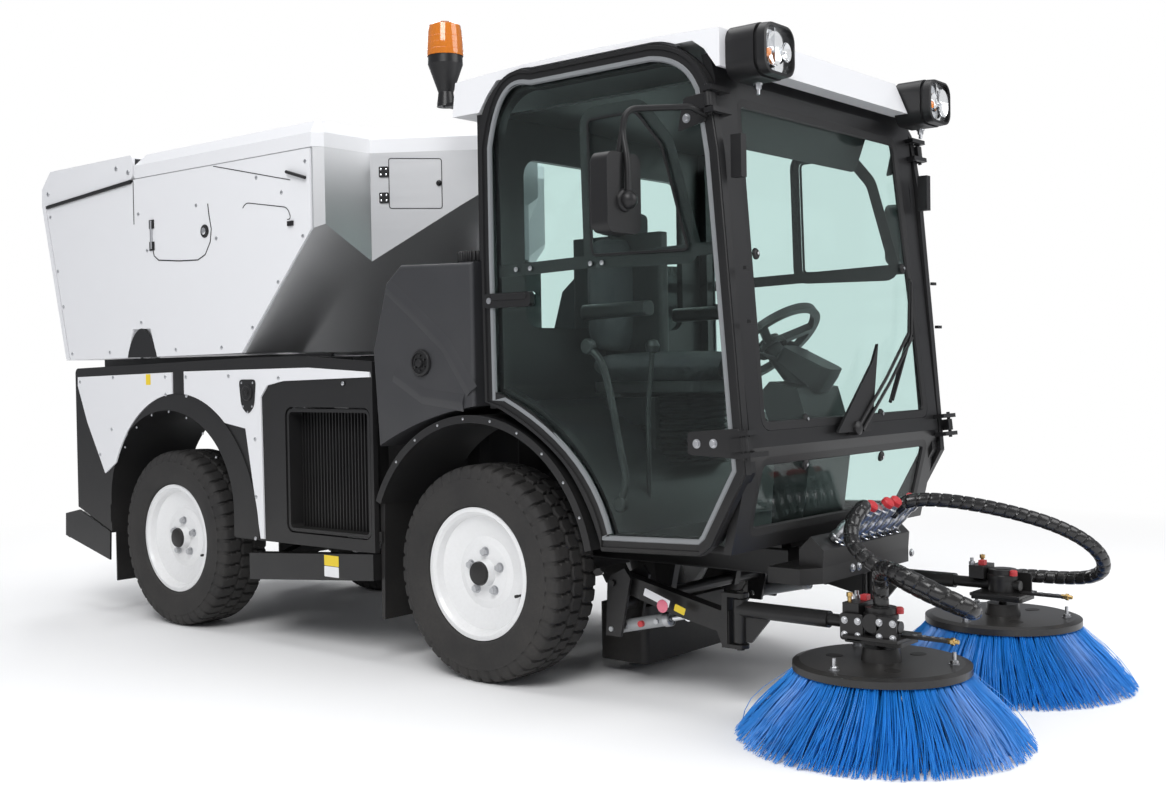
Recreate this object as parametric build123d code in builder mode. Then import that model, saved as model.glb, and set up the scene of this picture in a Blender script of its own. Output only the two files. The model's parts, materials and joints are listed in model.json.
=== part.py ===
from build123d import *

import os
from math import pi, radians, tan

# A compact street sweeper: glazed cab ahead, hopper behind, two side brushes on arms in front.
# Frame: +X is forward, +Y is the machine's left, +Z is up, and the wheels stand on Z = 0.
# Every length is in millimetres. Pieces of one side are drawn for the right side, at -Y.

# Main sizes
HALF_WIDTH = 640
FRONT_AXLE_X = 500
REAR_AXLE_X = -1220
ROOF_TOP = 1990
HOPPER_TOP = 1955
HOPPER_FLOOR = 1110

# Wheels and steering
TYRE_R = 360
TYRE_HALF_W = 112
RIM_FLANGE_R = 220
RIM_BARREL_R = 204
WHEEL_Y = 522
KINGPIN_Y = 445
HUB_R = 40

# Chassis rails
RAIL_Y = 195
RAIL_W = 64
RAIL_TOP = 470
RAIL_H = 85
RAIL_REAR_X = -1900
RAIL_FRONT_X = 1450
CAB_FLOOR_Z = 492
TANK_IN_Y = 300

# Hopper hinge at the top of the rear frame, and the tailgate's hinge
TIP_X = -1890
TIP_Z = 1080
TIP_Y = 300
GATE_X = -1470
GATE_Z = 1915

# Cab doors
DOOR_IN_Y = 607
DOOR_OUT_Y = 635
DOOR_FRAME_W = 42
RING_IN_Y = 566
RING_OUT_Y = 601
ROOF_HALF_W = 630
HINGE_Y = 657
HINGE_TOP = (1470, 1775)
HINGE_LOW = (1575, 815)

# Brush arms
ARM_Y = 420
LIFT_X = 955
LIFT_Z = 352
SWING_X = 1400
BRUSH_X = 1860
DISC_R = 244
TIP_R = 414
DISC_TOP = 215
DISC_UNDER = 190
TUBE_Z = 310
PORT_Z = 325
PORT_LENGTH = 60
MOTOR_TOP = 362

# Lift cylinders of the brush arms, from the eye on the frame to the eye on the arm
LIFT_EYE_LOW = (945, 205)
LIFT_EYE_ARM = (1215, 268)

# Hopper cylinders, from the eye on the frame to the eye on the hopper
RAM_Y = 95
RAM_EYE_LOW = (-1500, 500)
RAM_EYE_TOP = (-1220, 1062)
RAM_R = 34
RAM_ROD_R = 17

os.makedirs("parts", exist_ok=True)


def save(piece, name):
    """Give a finished piece its name and write its file."""
    piece.label = name
    export_step(piece, f"parts/{name}.step")
    print(f"{name:24s} {len(piece.solids())} solids {piece.volume / 1e6:9.3f} litres")


def save_pair(right_piece, name):
    """Write a right-hand piece and its mirror image on the left."""
    save(right_piece, f"{name}_right")
    with BuildPart() as left_piece:
        add(right_piece)
        mirror(about=Plane.XZ, mode=Mode.REPLACE)
    save(left_piece.part, f"{name}_left")


def save_both(right_piece, name):
    """Write a right-hand piece and its mirror image as one node of two bodies."""
    with BuildPart() as two_pieces:
        add(right_piece)
        mirror(about=Plane.XZ)
    save(two_pieces.part, name)


def side(y_inner):
    """The plane of a right-hand profile (x, z) that is extruded outwards, to -Y."""
    return Plane.XZ.offset(y_inner)


def ray_plane(start, end, y):
    """A plane at `start` (x, z) whose normal points to `end`, for round pieces between two eyes."""
    run = Vector(end[0] - start[0], 0, end[1] - start[1])
    return Plane(origin=(start[0], y, start[1]), x_dir=(0, 1, 0), z_dir=run.normalized())


# Wheels
# A tyre's section, from the bore out: side offset from the wheel's middle plane, radius.
TYRE_SECTION = [
    (86, RIM_BARREL_R + 2), (86, RIM_FLANGE_R + 2), (99, RIM_FLANGE_R + 4), (TYRE_HALF_W, 284),
    (TYRE_HALF_W - 4, 326), (TYRE_HALF_W - 18, 352), (64, TYRE_R),
]
# The rim's section on its outer side: side offset, radius. The dish runs in to the hub.
RIM_DISH = [(86, RIM_BARREL_R), (86, RIM_FLANGE_R), (92, RIM_FLANGE_R), (94, 205), (84, 196), (62, 188),
            (44, 120), (50, 96), (50, 46)]
DISH_THICKNESS = 7

with BuildPart() as tyre:
    with BuildSketch(Plane.YZ):
        with BuildLine():
            Polyline(*TYRE_SECTION, *[(-a, r) for a, r in reversed(TYRE_SECTION)], close=True)
        make_face()
    revolve(axis=Axis.Y)

with BuildPart() as rim:
    with BuildSketch(Plane.YZ):
        with BuildLine():
            inner = [(50 - DISH_THICKNESS, 46), (50 - DISH_THICKNESS, 94), (44 - DISH_THICKNESS, 118),
                     (58, 194), (-88, 197), (-92, 212), (-92, RIM_FLANGE_R), (-86, RIM_FLANGE_R),
                     (-86, RIM_BARREL_R)]
            Polyline(*RIM_DISH, *inner, close=True)
        make_face()
        with BuildLine():
            Polyline((0, 26), (0, 86), (38, 86), (38, 96), (48, 96), (50, 46), (82, HUB_R), (86, 30), (86, 0),
                     (62, 0), (62, 26), close=True)
        make_face()
    revolve(axis=Axis.Y)

for corner, axle_x, outwards in (("front_right", FRONT_AXLE_X, -1), ("front_left", FRONT_AXLE_X, 1),
                                 ("rear_right", REAR_AXLE_X, -1), ("rear_left", REAR_AXLE_X, 1)):
    spot = Location((axle_x, outwards * WHEEL_Y, TYRE_R), (0, 0, 0 if outwards > 0 else 180))
    for wheel_piece, piece_name in ((tyre, "tyre"), (rim, "rim")):
        save(wheel_piece.part.moved(spot), f"{piece_name}_{corner}")

    # The steering knuckle: a kingpin post, its end pins, the wheel's spindle and the steering arm.
    with BuildPart() as knuckle:
        with BuildSketch(Plane.XY.offset(TYRE_R - 70)):
            with Locations((axle_x, outwards * KINGPIN_Y)):
                Circle(30)
        extrude(amount=140)
        with BuildSketch(Plane.XY.offset(TYRE_R - 92)):
            with Locations((axle_x, outwards * KINGPIN_Y)):
                Circle(13)
        extrude(amount=184)
        with BuildSketch(Plane.XZ.offset(-outwards * (KINGPIN_Y + 20))):
            with Locations((axle_x, TYRE_R)):
                Circle(42)
        extrude(amount=-outwards * 30)
        with BuildSketch(Plane.XZ.offset(-outwards * (KINGPIN_Y + 20))):
            with Locations((axle_x, TYRE_R)):
                Circle(25)
        extrude(amount=-outwards * 115)
        with BuildSketch(Plane.XY.offset(TYRE_R - 62)):
            with Locations((axle_x - 55, outwards * KINGPIN_Y)):
                Rectangle(110, 26)
        extrude(amount=22)
    save(knuckle.part, f"knuckle_{corner}")

# Axles: a beam between two forks, with the spring seats under the rails
FORK_W = 56
with BuildPart() as axles:
    for axle_x in (FRONT_AXLE_X, REAR_AXLE_X):
        with BuildSketch(Plane.YZ.offset(axle_x - 35)):
            with Locations((0, TYRE_R - 20)):
                RectangleRounded(2 * (KINGPIN_Y - 50), 64, 12)
        extrude(amount=70)
        with BuildSketch(Plane.YZ.offset(axle_x - FORK_W / 2)):
            for outwards in (-1, 1):
                with BuildLine():
                    tip = KINGPIN_Y + 26
                    root = KINGPIN_Y - 62
                    Polyline(*[(outwards * a, TYRE_R + b) for a, b in (
                        (root, -96), (tip, -96), (tip, -74), (KINGPIN_Y - 36, -74), (KINGPIN_Y - 36, 74),
                        (tip, 74), (tip, 96), (root, 96))], close=True)
                make_face()
        extrude(amount=FORK_W)
        with BuildSketch(Plane.XY.offset(TYRE_R - 100)):
            with Locations((axle_x, KINGPIN_Y), (axle_x, -KINGPIN_Y)):
                Circle(14)
        extrude(amount=200, mode=Mode.SUBTRACT)
        with BuildSketch(Plane.XY.offset(TYRE_R)):
            with Locations((axle_x, RAIL_Y), (axle_x, -RAIL_Y)):
                Rectangle(120, RAIL_W)
        extrude(amount=RAIL_TOP - RAIL_H - TYRE_R)
save(axles.part, "axles")

# Chassis: two rails, cross tubes, and the rear frame that carries the hopper's hinge
with BuildPart() as chassis_frame:
    for y in (-RAIL_Y, RAIL_Y):
        with BuildSketch(Plane.YZ.offset(RAIL_REAR_X)):
            with Locations((y, RAIL_TOP - RAIL_H / 2)):
                RectangleRounded(RAIL_W, RAIL_H, 8)
        extrude(amount=RAIL_FRONT_X - RAIL_REAR_X)
    for x in (-1430, -960, -20, 300, 1400):
        with BuildSketch(Plane.XZ.offset(-RAIL_Y)):
            with Locations((x, RAIL_TOP - RAIL_H / 2)):
                Circle(26)
        extrude(amount=2 * RAIL_Y)
    # posts of the rear frame, out to the hinge eyes, and the rests under the hopper's front
    for y in (-TIP_Y, TIP_Y):
        with BuildSketch(Plane.XZ.offset(-y - 30)):
            with BuildLine():
                Polyline((-1920, RAIL_TOP - RAIL_H), (-1920, TIP_Z - 10), (-1866, TIP_Z), (-1800, 700),
                         (-1800, RAIL_TOP - RAIL_H), close=True)
            make_face()
        extrude(amount=60)
        with BuildSketch(Plane.XZ.offset(-y - 30)):
            with Locations((TIP_X, TIP_Z)):
                Circle(24)
        extrude(amount=60)
    with BuildSketch(Plane.XZ.offset(-TIP_Y)):
        with Locations((-1885, 960), (-1862, RAIL_TOP - RAIL_H / 2)):
            Rectangle(60, 60)
    extrude(amount=2 * TIP_Y)
    with BuildSketch(Plane.XZ.offset(-TIP_Y - 40)):
        with Locations((TIP_X, TIP_Z)):
            Circle(14.5)
    extrude(amount=2 * TIP_Y + 80, mode=Mode.SUBTRACT)
    for y in (-260, 260):
        with BuildSketch(Plane.XY.offset(RAIL_TOP - RAIL_H)):
            with Locations((-700, y)):
                Rectangle(60, 66)
        extrude(amount=HOPPER_FLOOR - 12 - RAIL_TOP + RAIL_H)
    # ears for the trunnion of the hopper's cylinders
    with BuildSketch(Plane.XZ.offset(-RAIL_Y)):
        with Locations((RAM_EYE_LOW[0], RAIL_TOP - 20)):
            Rectangle(90, 36)
    extrude(amount=2 * RAIL_Y)
    for y in (-RAM_Y - 52, -RAM_Y + 40, RAM_Y - 52, RAM_Y + 40):
        with BuildSketch(Plane.XZ.offset(-y)):
            with Locations(RAM_EYE_LOW):
                Circle(26)
            with Locations((RAM_EYE_LOW[0], RAIL_TOP - 5)):
                Rectangle(52, 50)
            with Locations(RAM_EYE_LOW):
                Circle(15, mode=Mode.SUBTRACT)
        extrude(amount=-12)
    # the cross tube and the ears that hold the brush arms and their cylinders
    with BuildSketch(Plane.XZ.offset(-ARM_Y - 46)):
        with Locations((LIFT_X + 8, 282)):
            Circle(20)
    extrude(amount=2 * ARM_Y + 92)
    for y in (-RAIL_Y, RAIL_Y):
        with BuildSketch(Plane.XZ.offset(-y - 15)):
            with BuildLine():
                Polyline((LIFT_X - 30, RAIL_TOP - RAIL_H + 10), (LIFT_X + 60, RAIL_TOP - RAIL_H + 10),
                         (LIFT_X + 30, 262), (LIFT_X - 14, 262), close=True)
            make_face()
        extrude(amount=30)
    for outwards in (-1, 1):
        for y in (ARM_Y - 62, ARM_Y + 34):
            with BuildSketch(Plane.XZ.offset(-outwards * y)):
                with BuildLine():
                    Polyline((LIFT_X - 24, LIFT_Z), (LIFT_X - 12, LIFT_Z + 22), (LIFT_X + 45, LIFT_Z + 50),
                             (LIFT_X + 68, LIFT_Z + 20), (LIFT_X + 26, LIFT_EYE_LOW[1] - 22),
                             (LIFT_EYE_LOW[0] - 22, LIFT_EYE_LOW[1] - 22), close=True)
                make_face()
                with Locations((LIFT_X, LIFT_Z)):
                    Circle(11, mode=Mode.SUBTRACT)
                with Locations(LIFT_EYE_LOW):
                    Circle(9, mode=Mode.SUBTRACT)
            extrude(amount=-outwards * 12)
    # the beams along the sides under the grilles, on brackets from the rails
    for outwards in (-1, 1):
        with BuildSketch(Plane.XZ.offset(-outwards * (HALF_WIDTH - 60))):
            with BuildLine():
                Polyline((-690, 342), (20, 390), (20, 297), (-690, 241), close=True)
            make_face()
        extrude(amount=-outwards * 60)
        for x, beam_z in ((-560, 350), (-60, 380)):
            with BuildSketch(Plane.YZ.offset(x - 25)):
                with BuildLine():
                    Polyline(*[(outwards * y, z) for y, z in (
                        (RAIL_Y, 400), (RAIL_Y, 450), (HALF_WIDTH - 50, beam_z - 5), (HALF_WIDTH - 50, beam_z - 60))],
                             close=True)
                make_face()
            extrude(amount=50)
    # rubber mounts under the cab floor, and the posts that carry the tanks and the suction duct
    for y in (-RAIL_Y, RAIL_Y):
        with BuildSketch(Plane.XY.offset(RAIL_TOP - 1)):
            with Locations((1110, y), (1390, y)):
                Rectangle(70, 56)
        extrude(amount=CAB_FLOOR_Z - RAIL_TOP + 1)
        with BuildSketch(Plane.XY.offset(RAIL_TOP - 1)):
            with Locations((110, y)):
                Rectangle(60, 50)
        extrude(amount=531)
    for outwards in (-1, 1):
        with BuildSketch(Plane.YZ.offset(80)):
            with Locations((outwards * (TANK_IN_Y + RAIL_Y) / 2, 970)):
                Rectangle(TANK_IN_Y - RAIL_Y, 60)
        extrude(amount=60)
    # rear bumper beam, its end plates and its arms from the rails
    with BuildSketch(Plane.XZ.offset(-HALF_WIDTH + 4)):
        with BuildLine():
            Polyline((-2040, 418), (-2044, 320), (-2010, 310), (-2000, 400), close=True)
        make_face()
    extrude(amount=2 * (HALF_WIDTH - 4))
    for y in (-HALF_WIDTH + 4, HALF_WIDTH - 12):
        with BuildSketch(Plane.XZ.offset(-y)):
            with BuildLine():
                Polyline((-2040, 418), (-2044, 320), (-1685, 236), (-1678, 358), (-1925, 440), close=True)
            make_face()
        extrude(amount=-8)
    for y in (-RAIL_Y - 10, RAIL_Y - 10):
        with BuildSketch(Plane.XZ.offset(-y)):
            with BuildLine():
                Polyline((-2015, 410), (-1850, 440), (-1850, 390), (-2015, 330), close=True)
            make_face()
        extrude(amount=-20)
save(chassis_frame.part, "chassis_frame")

# Engine: one plain block on the rails behind the cab
with BuildPart() as engine_block:
    with BuildSketch(Plane.XY.offset(RAIL_TOP)):
        with Locations((-330, 0)):
            RectangleRounded(560, 440, 30)
    extrude(amount=440)
save(engine_block.part, "engine_block")

# Lower body: a black frame with the wheel arch, white panels on it, and the grille
ARCH_X = -1225
ARCH_HALF = 440
ARCH_SPRING_Z = 500
ARCH_RISE = 385
LIP_X = -1150
LIP_HALF = 520
LIP_Z = 400
LIP_RISE = 550
FRAME_REAR_X = -1935
FRAME_FRONT_X = 25
FRAME_T = 22
PANEL_T = 6
FRAME_OUT_Y = HALF_WIDTH - PANEL_T

with BuildPart() as side_frame:
    with BuildSketch(side(FRAME_OUT_Y - FRAME_T)):
        with BuildLine():
            Polyline((FRAME_REAR_X, 453), (FRAME_REAR_X, 1064), (-661, 1092), (-361, 1092), (FRAME_FRONT_X, 1066),
                     (FRAME_FRONT_X, 394), (-785, 394), (-785, 120), (-1665, 120), (-1665, 360), close=True)
        make_face()
        fillet(vertices().sort_by_distance((FRAME_REAR_X, 1064))[0], 24)
        with BuildLine():
            arch_right = (ARCH_X + ARCH_HALF, ARCH_SPRING_Z)
            arch_left = (ARCH_X - ARCH_HALF, ARCH_SPRING_Z)
            EllipticalCenterArc((ARCH_X, ARCH_SPRING_Z), ARCH_HALF, ARCH_RISE, start_angle=0, arc_size=180)
            Polyline(arch_left, (arch_left[0], 100), (arch_right[0], 100), arch_right)
        make_face(mode=Mode.SUBTRACT)
        with Locations(((-464 + 10) / 2, (437 + 904) / 2)):
            RectangleRounded(474, 467, 34, mode=Mode.SUBTRACT)
    extrude(amount=FRAME_T)
    # the lip round the arch, 8 mm proud
    with BuildSketch(side(FRAME_OUT_Y)):
        with BuildLine():
            lip_a = EllipticalCenterArc((LIP_X, LIP_Z), LIP_HALF, LIP_RISE, start_angle=0, arc_size=180)
            Line(lip_a @ 1, lip_a @ 0)
        make_face()
        with BuildLine():
            arc_in = EllipticalCenterArc((ARCH_X, ARCH_SPRING_Z), ARCH_HALF, ARCH_RISE, start_angle=0, arc_size=180)
            Polyline(arc_in @ 1, (arch_left[0], 300), (arch_right[0], 300), arc_in @ 0)
        make_face(mode=Mode.SUBTRACT)
    extrude(amount=5)
    # the lid of the frame, which runs inwards from its top edge
    with BuildSketch(Plane.XZ.offset(HALF_WIDTH - 200)):
        with BuildLine():
            Polyline((FRAME_REAR_X, 1046), (FRAME_REAR_X + 20, 1064), (-661, 1092), (-361, 1092), (-300, 1087),
                     (-300, 1069), (-361, 1074), (-661, 1074), close=True)
        make_face()
    extrude(amount=200 - PANEL_T - FRAME_T)
    # the liner over the rear wheel, in to the rails
    with BuildSketch(side(250)):
        with BuildLine():
            outer = EllipticalCenterArc((ARCH_X, ARCH_SPRING_Z), ARCH_HALF + 8, ARCH_RISE + 8, start_angle=0,
                                        arc_size=180)
            Line(outer @ 1, (ARCH_X - ARCH_HALF - 8, 145))
            Line((ARCH_X - ARCH_HALF - 8, 145), (ARCH_X - ARCH_HALF, 145))
            Line((ARCH_X - ARCH_HALF, 145), (ARCH_X - ARCH_HALF, ARCH_SPRING_Z))
            inner = EllipticalCenterArc((ARCH_X, ARCH_SPRING_Z), ARCH_HALF, ARCH_RISE, start_angle=0, arc_size=180)
            Line(inner @ 0, (ARCH_X + ARCH_HALF, 395))
            Line((ARCH_X + ARCH_HALF, 395), (ARCH_X + ARCH_HALF + 8, 395))
            Line((ARCH_X + ARCH_HALF + 8, 395), outer @ 0)
        make_face()
    extrude(amount=FRAME_OUT_Y - FRAME_T - 250)
save_both(side_frame.part, "side_frames")

with BuildPart() as side_panels:
    with BuildSketch(side(FRAME_OUT_Y)):
        with BuildLine():
            Polyline((-1905, 1026), (-1185, 1040), (-1185, 900), (-1700, 610), (-1733, 664), (-1835, 828),
                     (-1907, 988), close=True)
        make_face()
        with BuildLine():
            Polyline((-1100, 1043), (-320, 1049), (15, 1030), (20, 1012), (-466, 1001), (-560, 985), (-601, 940),
                     (-595, 402), (-618, 402), (-700, 820), (-1100, 880), close=True)
        make_face()
        with BuildLine():
            lip_b = EllipticalCenterArc((LIP_X, LIP_Z), LIP_HALF + 4, LIP_RISE + 4, start_angle=0, arc_size=180)
            Polyline(lip_b @ 1, (LIP_X - LIP_HALF - 4, 300), (LIP_X + LIP_HALF + 4, 300), lip_b @ 0)
        make_face(mode=Mode.SUBTRACT)
    extrude(amount=PANEL_T)
save_both(side_panels.part, "side_panels")

GRILLE_BARS = 25
with BuildPart() as grille:
    with BuildSketch(side(FRAME_OUT_Y - 90)):
        with Locations((-227, 670)):
            RectangleRounded(462, 455, 28)
            RectangleRounded(438, 431, 16, mode=Mode.SUBTRACT)
    extrude(amount=86)
    with BuildSketch(side(FRAME_OUT_Y - 90)):
        with Locations((-227, 670)):
            Rectangle(440, 433)
    extrude(amount=12)
    with BuildSketch(side(FRAME_OUT_Y - 80)):
        with Locations((-227, 670)):
            with GridLocations(17.5, 1, GRILLE_BARS, 1):
                Rectangle(5, 433)
    extrude(amount=22)
save_both(grille.part, "grilles")

# Cab: the side rings and the windscreen surround, in one black frame
# The door's outline in side view, clockwise from its low rear corner
DOOR_REAR_LOW = (572, 927)
DOOR_FRONT = [(1459, 1821), (1490, 1636), (1526, 1215), (1554, 881), (1566, 728), (1452, 522), (1407, 490),
              (1048, 478)]
SCREEN_LINE = [(1438, 1918), (1455, 1850), (1560, 800), (1490, 496)]
SCREEN_T = 28
# the windscreen's and the lower windscreen's openings: low z, high z, half width above, half width below
SCREEN_OPENINGS = [(845, 1805, 500, 535), (540, 770, 535, 530)]


def door_outline():
    """Draw the door's outline as the current line: straight edges with arcs at the top and over the wheel."""
    Line(DOOR_REAR_LOW, (566, 1742))
    ThreePointArc((566, 1742), (646, 1935), (790, 1966))
    Line((790, 1966), (1250, 1966))
    ThreePointArc((1250, 1966), (1382, 1922), DOOR_FRONT[0])
    Polyline(*DOOR_FRONT)
    ThreePointArc(DOOR_FRONT[-1], (906, 733), DOOR_REAR_LOW)


HINGE_RUN = Vector(HINGE_LOW[0] - HINGE_TOP[0], 0, HINGE_LOW[1] - HINGE_TOP[1]).normalized()
# the cab's half of a door hinge, across its pin: forward, outward; the pin's centre is the origin
HINGE_LUG = [(-11, -8), (-11, 11), (22, 11), (22, -84), (-20, -84), (-20, -60), (8, -60), (8, -8)]
with BuildPart() as cab_frame:
    for outwards in (-1, 1):
        with BuildSketch(Plane.XZ.offset(RING_IN_Y if outwards < 0 else -RING_OUT_Y)):
            with BuildLine():
                door_outline()
            make_face()
            offset(amount=-12)
            offset(amount=-42, mode=Mode.SUBTRACT)
        extrude(amount=RING_OUT_Y - RING_IN_Y)
    # front surround, a folded plate across the cab with the two window openings
    with BuildSketch(Plane.XZ.offset(-RING_OUT_Y)):
        with BuildLine():
            back = [(x - SCREEN_T, z) for x, z in SCREEN_LINE]
            Polyline(*SCREEN_LINE, *reversed(back), close=True)
        make_face()
    extrude(amount=2 * RING_OUT_Y)
    for low, high, narrow, wide in SCREEN_OPENINGS:
        with BuildSketch(Plane.YZ.offset(1300)):
            with BuildLine():
                Polyline((-wide, low), (wide, low), (narrow, high), (-narrow, high), close=True)
            make_face()
            fillet(vertices(), 40)
        extrude(amount=400, mode=Mode.SUBTRACT)
    # rear wall with its window opening
    with BuildSketch(Plane.YZ.offset(562)):
        with Locations((0, (905 + 1862) / 2)):
            Rectangle(2 * RING_OUT_Y, 1862 - 905)
        with Locations((0, 1450)):
            RectangleRounded(900, 560, 60, mode=Mode.SUBTRACT)
    extrude(amount=26)
    # flat top edge under the roof
    with BuildSketch(Plane.XY.offset(1954)):
        with Locations((1000, 0)):
            Rectangle(1200, 1300)
    extrude(amount=60, mode=Mode.SUBTRACT)
    # door hinges: two lugs reach round each door's front edge and hold the pin
    for outwards in (-1, 1):
        for x, z in (HINGE_TOP, HINGE_LOW):
            pin_plane = Plane(origin=(x, outwards * HINGE_Y, z), x_dir=(0, outwards, 0), z_dir=HINGE_RUN)
            for shift in (-38, 24):
                with BuildSketch(pin_plane.offset(shift)):
                    with BuildLine():
                        Polyline(*[(across, outwards * ahead) for ahead, across in HINGE_LUG], close=True)
                    make_face()
                extrude(amount=14)
            with BuildSketch(pin_plane.offset(-44)):
                Circle(6)
            extrude(amount=88)
save(cab_frame.part, "cab_frame")

# The panes of the cab body: windscreen, lower windscreen and rear window
with BuildPart() as cab_glass:
    for low, high, narrow, wide in SCREEN_OPENINGS:
        with BuildSketch(Plane.YZ.offset(1300)):
            with BuildLine():
                Polyline((-wide, low), (wide, low), (narrow, high), (-narrow, high), close=True)
            make_face()
            fillet(vertices(), 40)
        extrude(amount=400)
    with BuildSketch(Plane.XZ.offset(-560)):
        with BuildLine():
            front = [(x - 8, z) for x, z in SCREEN_LINE]
            back = [(x - 14, z) for x, z in SCREEN_LINE]
            Polyline(*front, *reversed(back), close=True)
        make_face()
    extrude(amount=1120, mode=Mode.INTERSECT)
    with BuildSketch(Plane.YZ.offset(570)):
        with Locations((0, 1450)):
            RectangleRounded(900, 560, 60)
    extrude(amount=6)
save(cab_glass.part, "cab_glass")

# Cab floor: flat under the feet, rising over the front wheels, with the seat's plinth
FLOOR_T = 22
ARCH_FRONT = (500, 370)
FLOOR_R = 540
with BuildPart() as cab_floor:
    with BuildSketch(Plane.XZ.offset(-RING_IN_Y)):
        with BuildLine():
            under = CenterArc(ARCH_FRONT, FLOOR_R, 13.06, 67.4)
            top = CenterArc(ARCH_FRONT, FLOOR_R + FLOOR_T, 14.845, 66)
            Polyline(under @ 0, (1458, CAB_FLOOR_Z), (1458, CAB_FLOOR_Z + FLOOR_T), top @ 0)
            Line(top @ 1, under @ 1)
        make_face()
    extrude(amount=2 * RING_IN_Y)
    with BuildSketch(Plane.XY.offset(840)):
        with Locations((800, 0)):
            Rectangle(220, 340)
    extrude(amount=90)
    with BuildSketch(Plane.XY.offset(700)):
        with Locations((900, 0)):
            Rectangle(20, 340)
    extrude(amount=230)
save(cab_floor.part, "cab_floor")

# Roof: a white shell over the cab, its front a visor between the two lamps
LAMP_X = 1492
with BuildPart() as cab_roof:
    with BuildSketch(Plane.XZ.offset(-ROOF_HALF_W)):
        with BuildLine():
            Line((440, 1862), (455, 1972))
            ThreePointArc((455, 1972), (1000, ROOF_TOP), (1500, 1976))
            Polyline((1500, 1976), (1545, 1870), (1480, 1870), (1440, 1925), (1400, 1954), (640, 1954),
                     (600, 1915), (560, 1862), (440, 1862))
        make_face()
    extrude(amount=2 * ROOF_HALF_W)
    # the doors' round upper corners are cut out of the roof's sides
    for y in (-ROOF_HALF_W - 10, RING_OUT_Y):
        with BuildSketch(Plane.XZ.offset(-y)):
            with BuildLine():
                door_outline()
            make_face()
            offset(amount=7)
        extrude(amount=-(ROOF_HALF_W + 10 - RING_OUT_Y), mode=Mode.SUBTRACT)
    with BuildSketch(Plane.XY.offset(1700)):
        with Locations((LAMP_X + 60, 530), (LAMP_X + 60, -530)):
            Rectangle(120, 220)
    extrude(amount=400, mode=Mode.SUBTRACT)
save(cab_roof.part, "cab_roof")

with BuildPart() as headlamp:
    with BuildSketch(Plane.YZ.offset(LAMP_X)):
        with Locations((-516, 1912)):
            RectangleRounded(170, 150, 46)
    extrude(amount=92)
    with BuildSketch(Plane.YZ.offset(LAMP_X + 92)):
        with Locations((-516, 1912)):
            RectangleRounded(154, 134, 42)
    extrude(amount=14)
save_both(headlamp.part, "headlamps")

with BuildPart() as beacon:
    with BuildSketch(Plane.XY.offset(1930)):
        with Locations((366, -500)):
            Rectangle(154, 46)
    extrude(amount=12)
    with BuildSketch(Plane.XZ.offset(500)):
        with BuildLine():
            Polyline((280, 1936), (312, 1936), (306, 1985), (340, 2080), (336, 2190), (310, 2221), (280, 2221),
                     close=True)
        make_face()
    revolve(axis=Axis((280, -500, 0), (0, 0, 1)))
save(beacon.part, "beacon")

# Doors: a rubber-edged frame with hinge lugs, a handle and the mirror on its bent arm, and the pane
MIRROR = (1300, -860, 1510)
with BuildPart() as door_frame:
    with BuildSketch(side(DOOR_IN_Y)):
        with BuildLine():
            door_outline()
        make_face()
        offset(amount=-DOOR_FRAME_W, mode=Mode.SUBTRACT)
    extrude(amount=DOOR_OUT_Y - DOOR_IN_Y)
    for x, z in (HINGE_TOP, HINGE_LOW):
        pin_plane = Plane(origin=(x, -HINGE_Y, z), x_dir=(0, -1, 0), z_dir=HINGE_RUN)
        with BuildSketch(pin_plane.offset(-19)):
            Circle(11)
            with Locations((-14, 22)):
                Rectangle(20, 62)
            Circle(6.5, mode=Mode.SUBTRACT)
        extrude(amount=38)
    with BuildSketch(side(DOOR_OUT_Y - 10)):
        with Locations((680, 1252)):
            RectangleRounded(200, 46, 12)
    extrude(amount=18)
    with BuildLine() as mirror_arm:
        FilletPolyline((1450, -630, 1735), (1440, -700, 1752), (1330, -850, 1740), (1305, -858, 1600), radius=36)
    with BuildSketch(Plane(origin=mirror_arm.line @ 0, z_dir=mirror_arm.line % 0)):
        Circle(9)
    sweep(path=mirror_arm.line)
    with BuildSketch(Plane.YZ.offset(MIRROR[0] - 28)):
        with Locations((MIRROR[1], MIRROR[2])):
            RectangleRounded(150, 220, 28)
    extrude(amount=56)
save_pair(door_frame.part, "door_frame")

with BuildPart() as door_glass:
    with BuildSketch(side(DOOR_IN_Y + 10)):
        with BuildLine():
            door_outline()
        make_face()
        offset(amount=-DOOR_FRAME_W, mode=Mode.REPLACE)
        with Locations((680, 1252)):
            RectangleRounded(202, 48, 12, mode=Mode.SUBTRACT)
    extrude(amount=7)
save_pair(door_glass.part, "door_glass")

# Inside the cab: seat, console with the column, and the steering wheel
with BuildPart() as seat:
    with BuildSketch(Plane.XZ.offset(-235)):
        with BuildLine():
            Polyline((650, 1010), (1120, 1040), (1130, 1100), (770, 1085), (715, 1120), (660, 1600), (600, 1600),
                     (610, 1060), close=True)
        make_face()
        fillet(vertices(), 12)
    extrude(amount=470)
    with BuildSketch(Plane.XY.offset(930)):
        with Locations((800, 0)):
            RectangleRounded(210, 320, 30)
    extrude(amount=100)
save(seat.part, "seat")

COLUMN = ray_plane((1385, 940), (1235, 1120), 0)
COLUMN_L = 190
with BuildPart() as console:
    with BuildSketch(Plane.XZ.offset(-130)):
        with BuildLine():
            Polyline((1330, 514), (1440, 514), (1480, 800), (1430, 960), (1330, 980), (1290, 940), (1350, 800),
                     close=True)
        make_face()
    extrude(amount=260)
    with BuildSketch(COLUMN):
        Circle(32)
    extrude(amount=COLUMN_L)
    with BuildSketch(COLUMN.offset(COLUMN_L - 40)):
        Circle(15)
    extrude(amount=41, mode=Mode.SUBTRACT)
save(console.part, "console")

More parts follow.
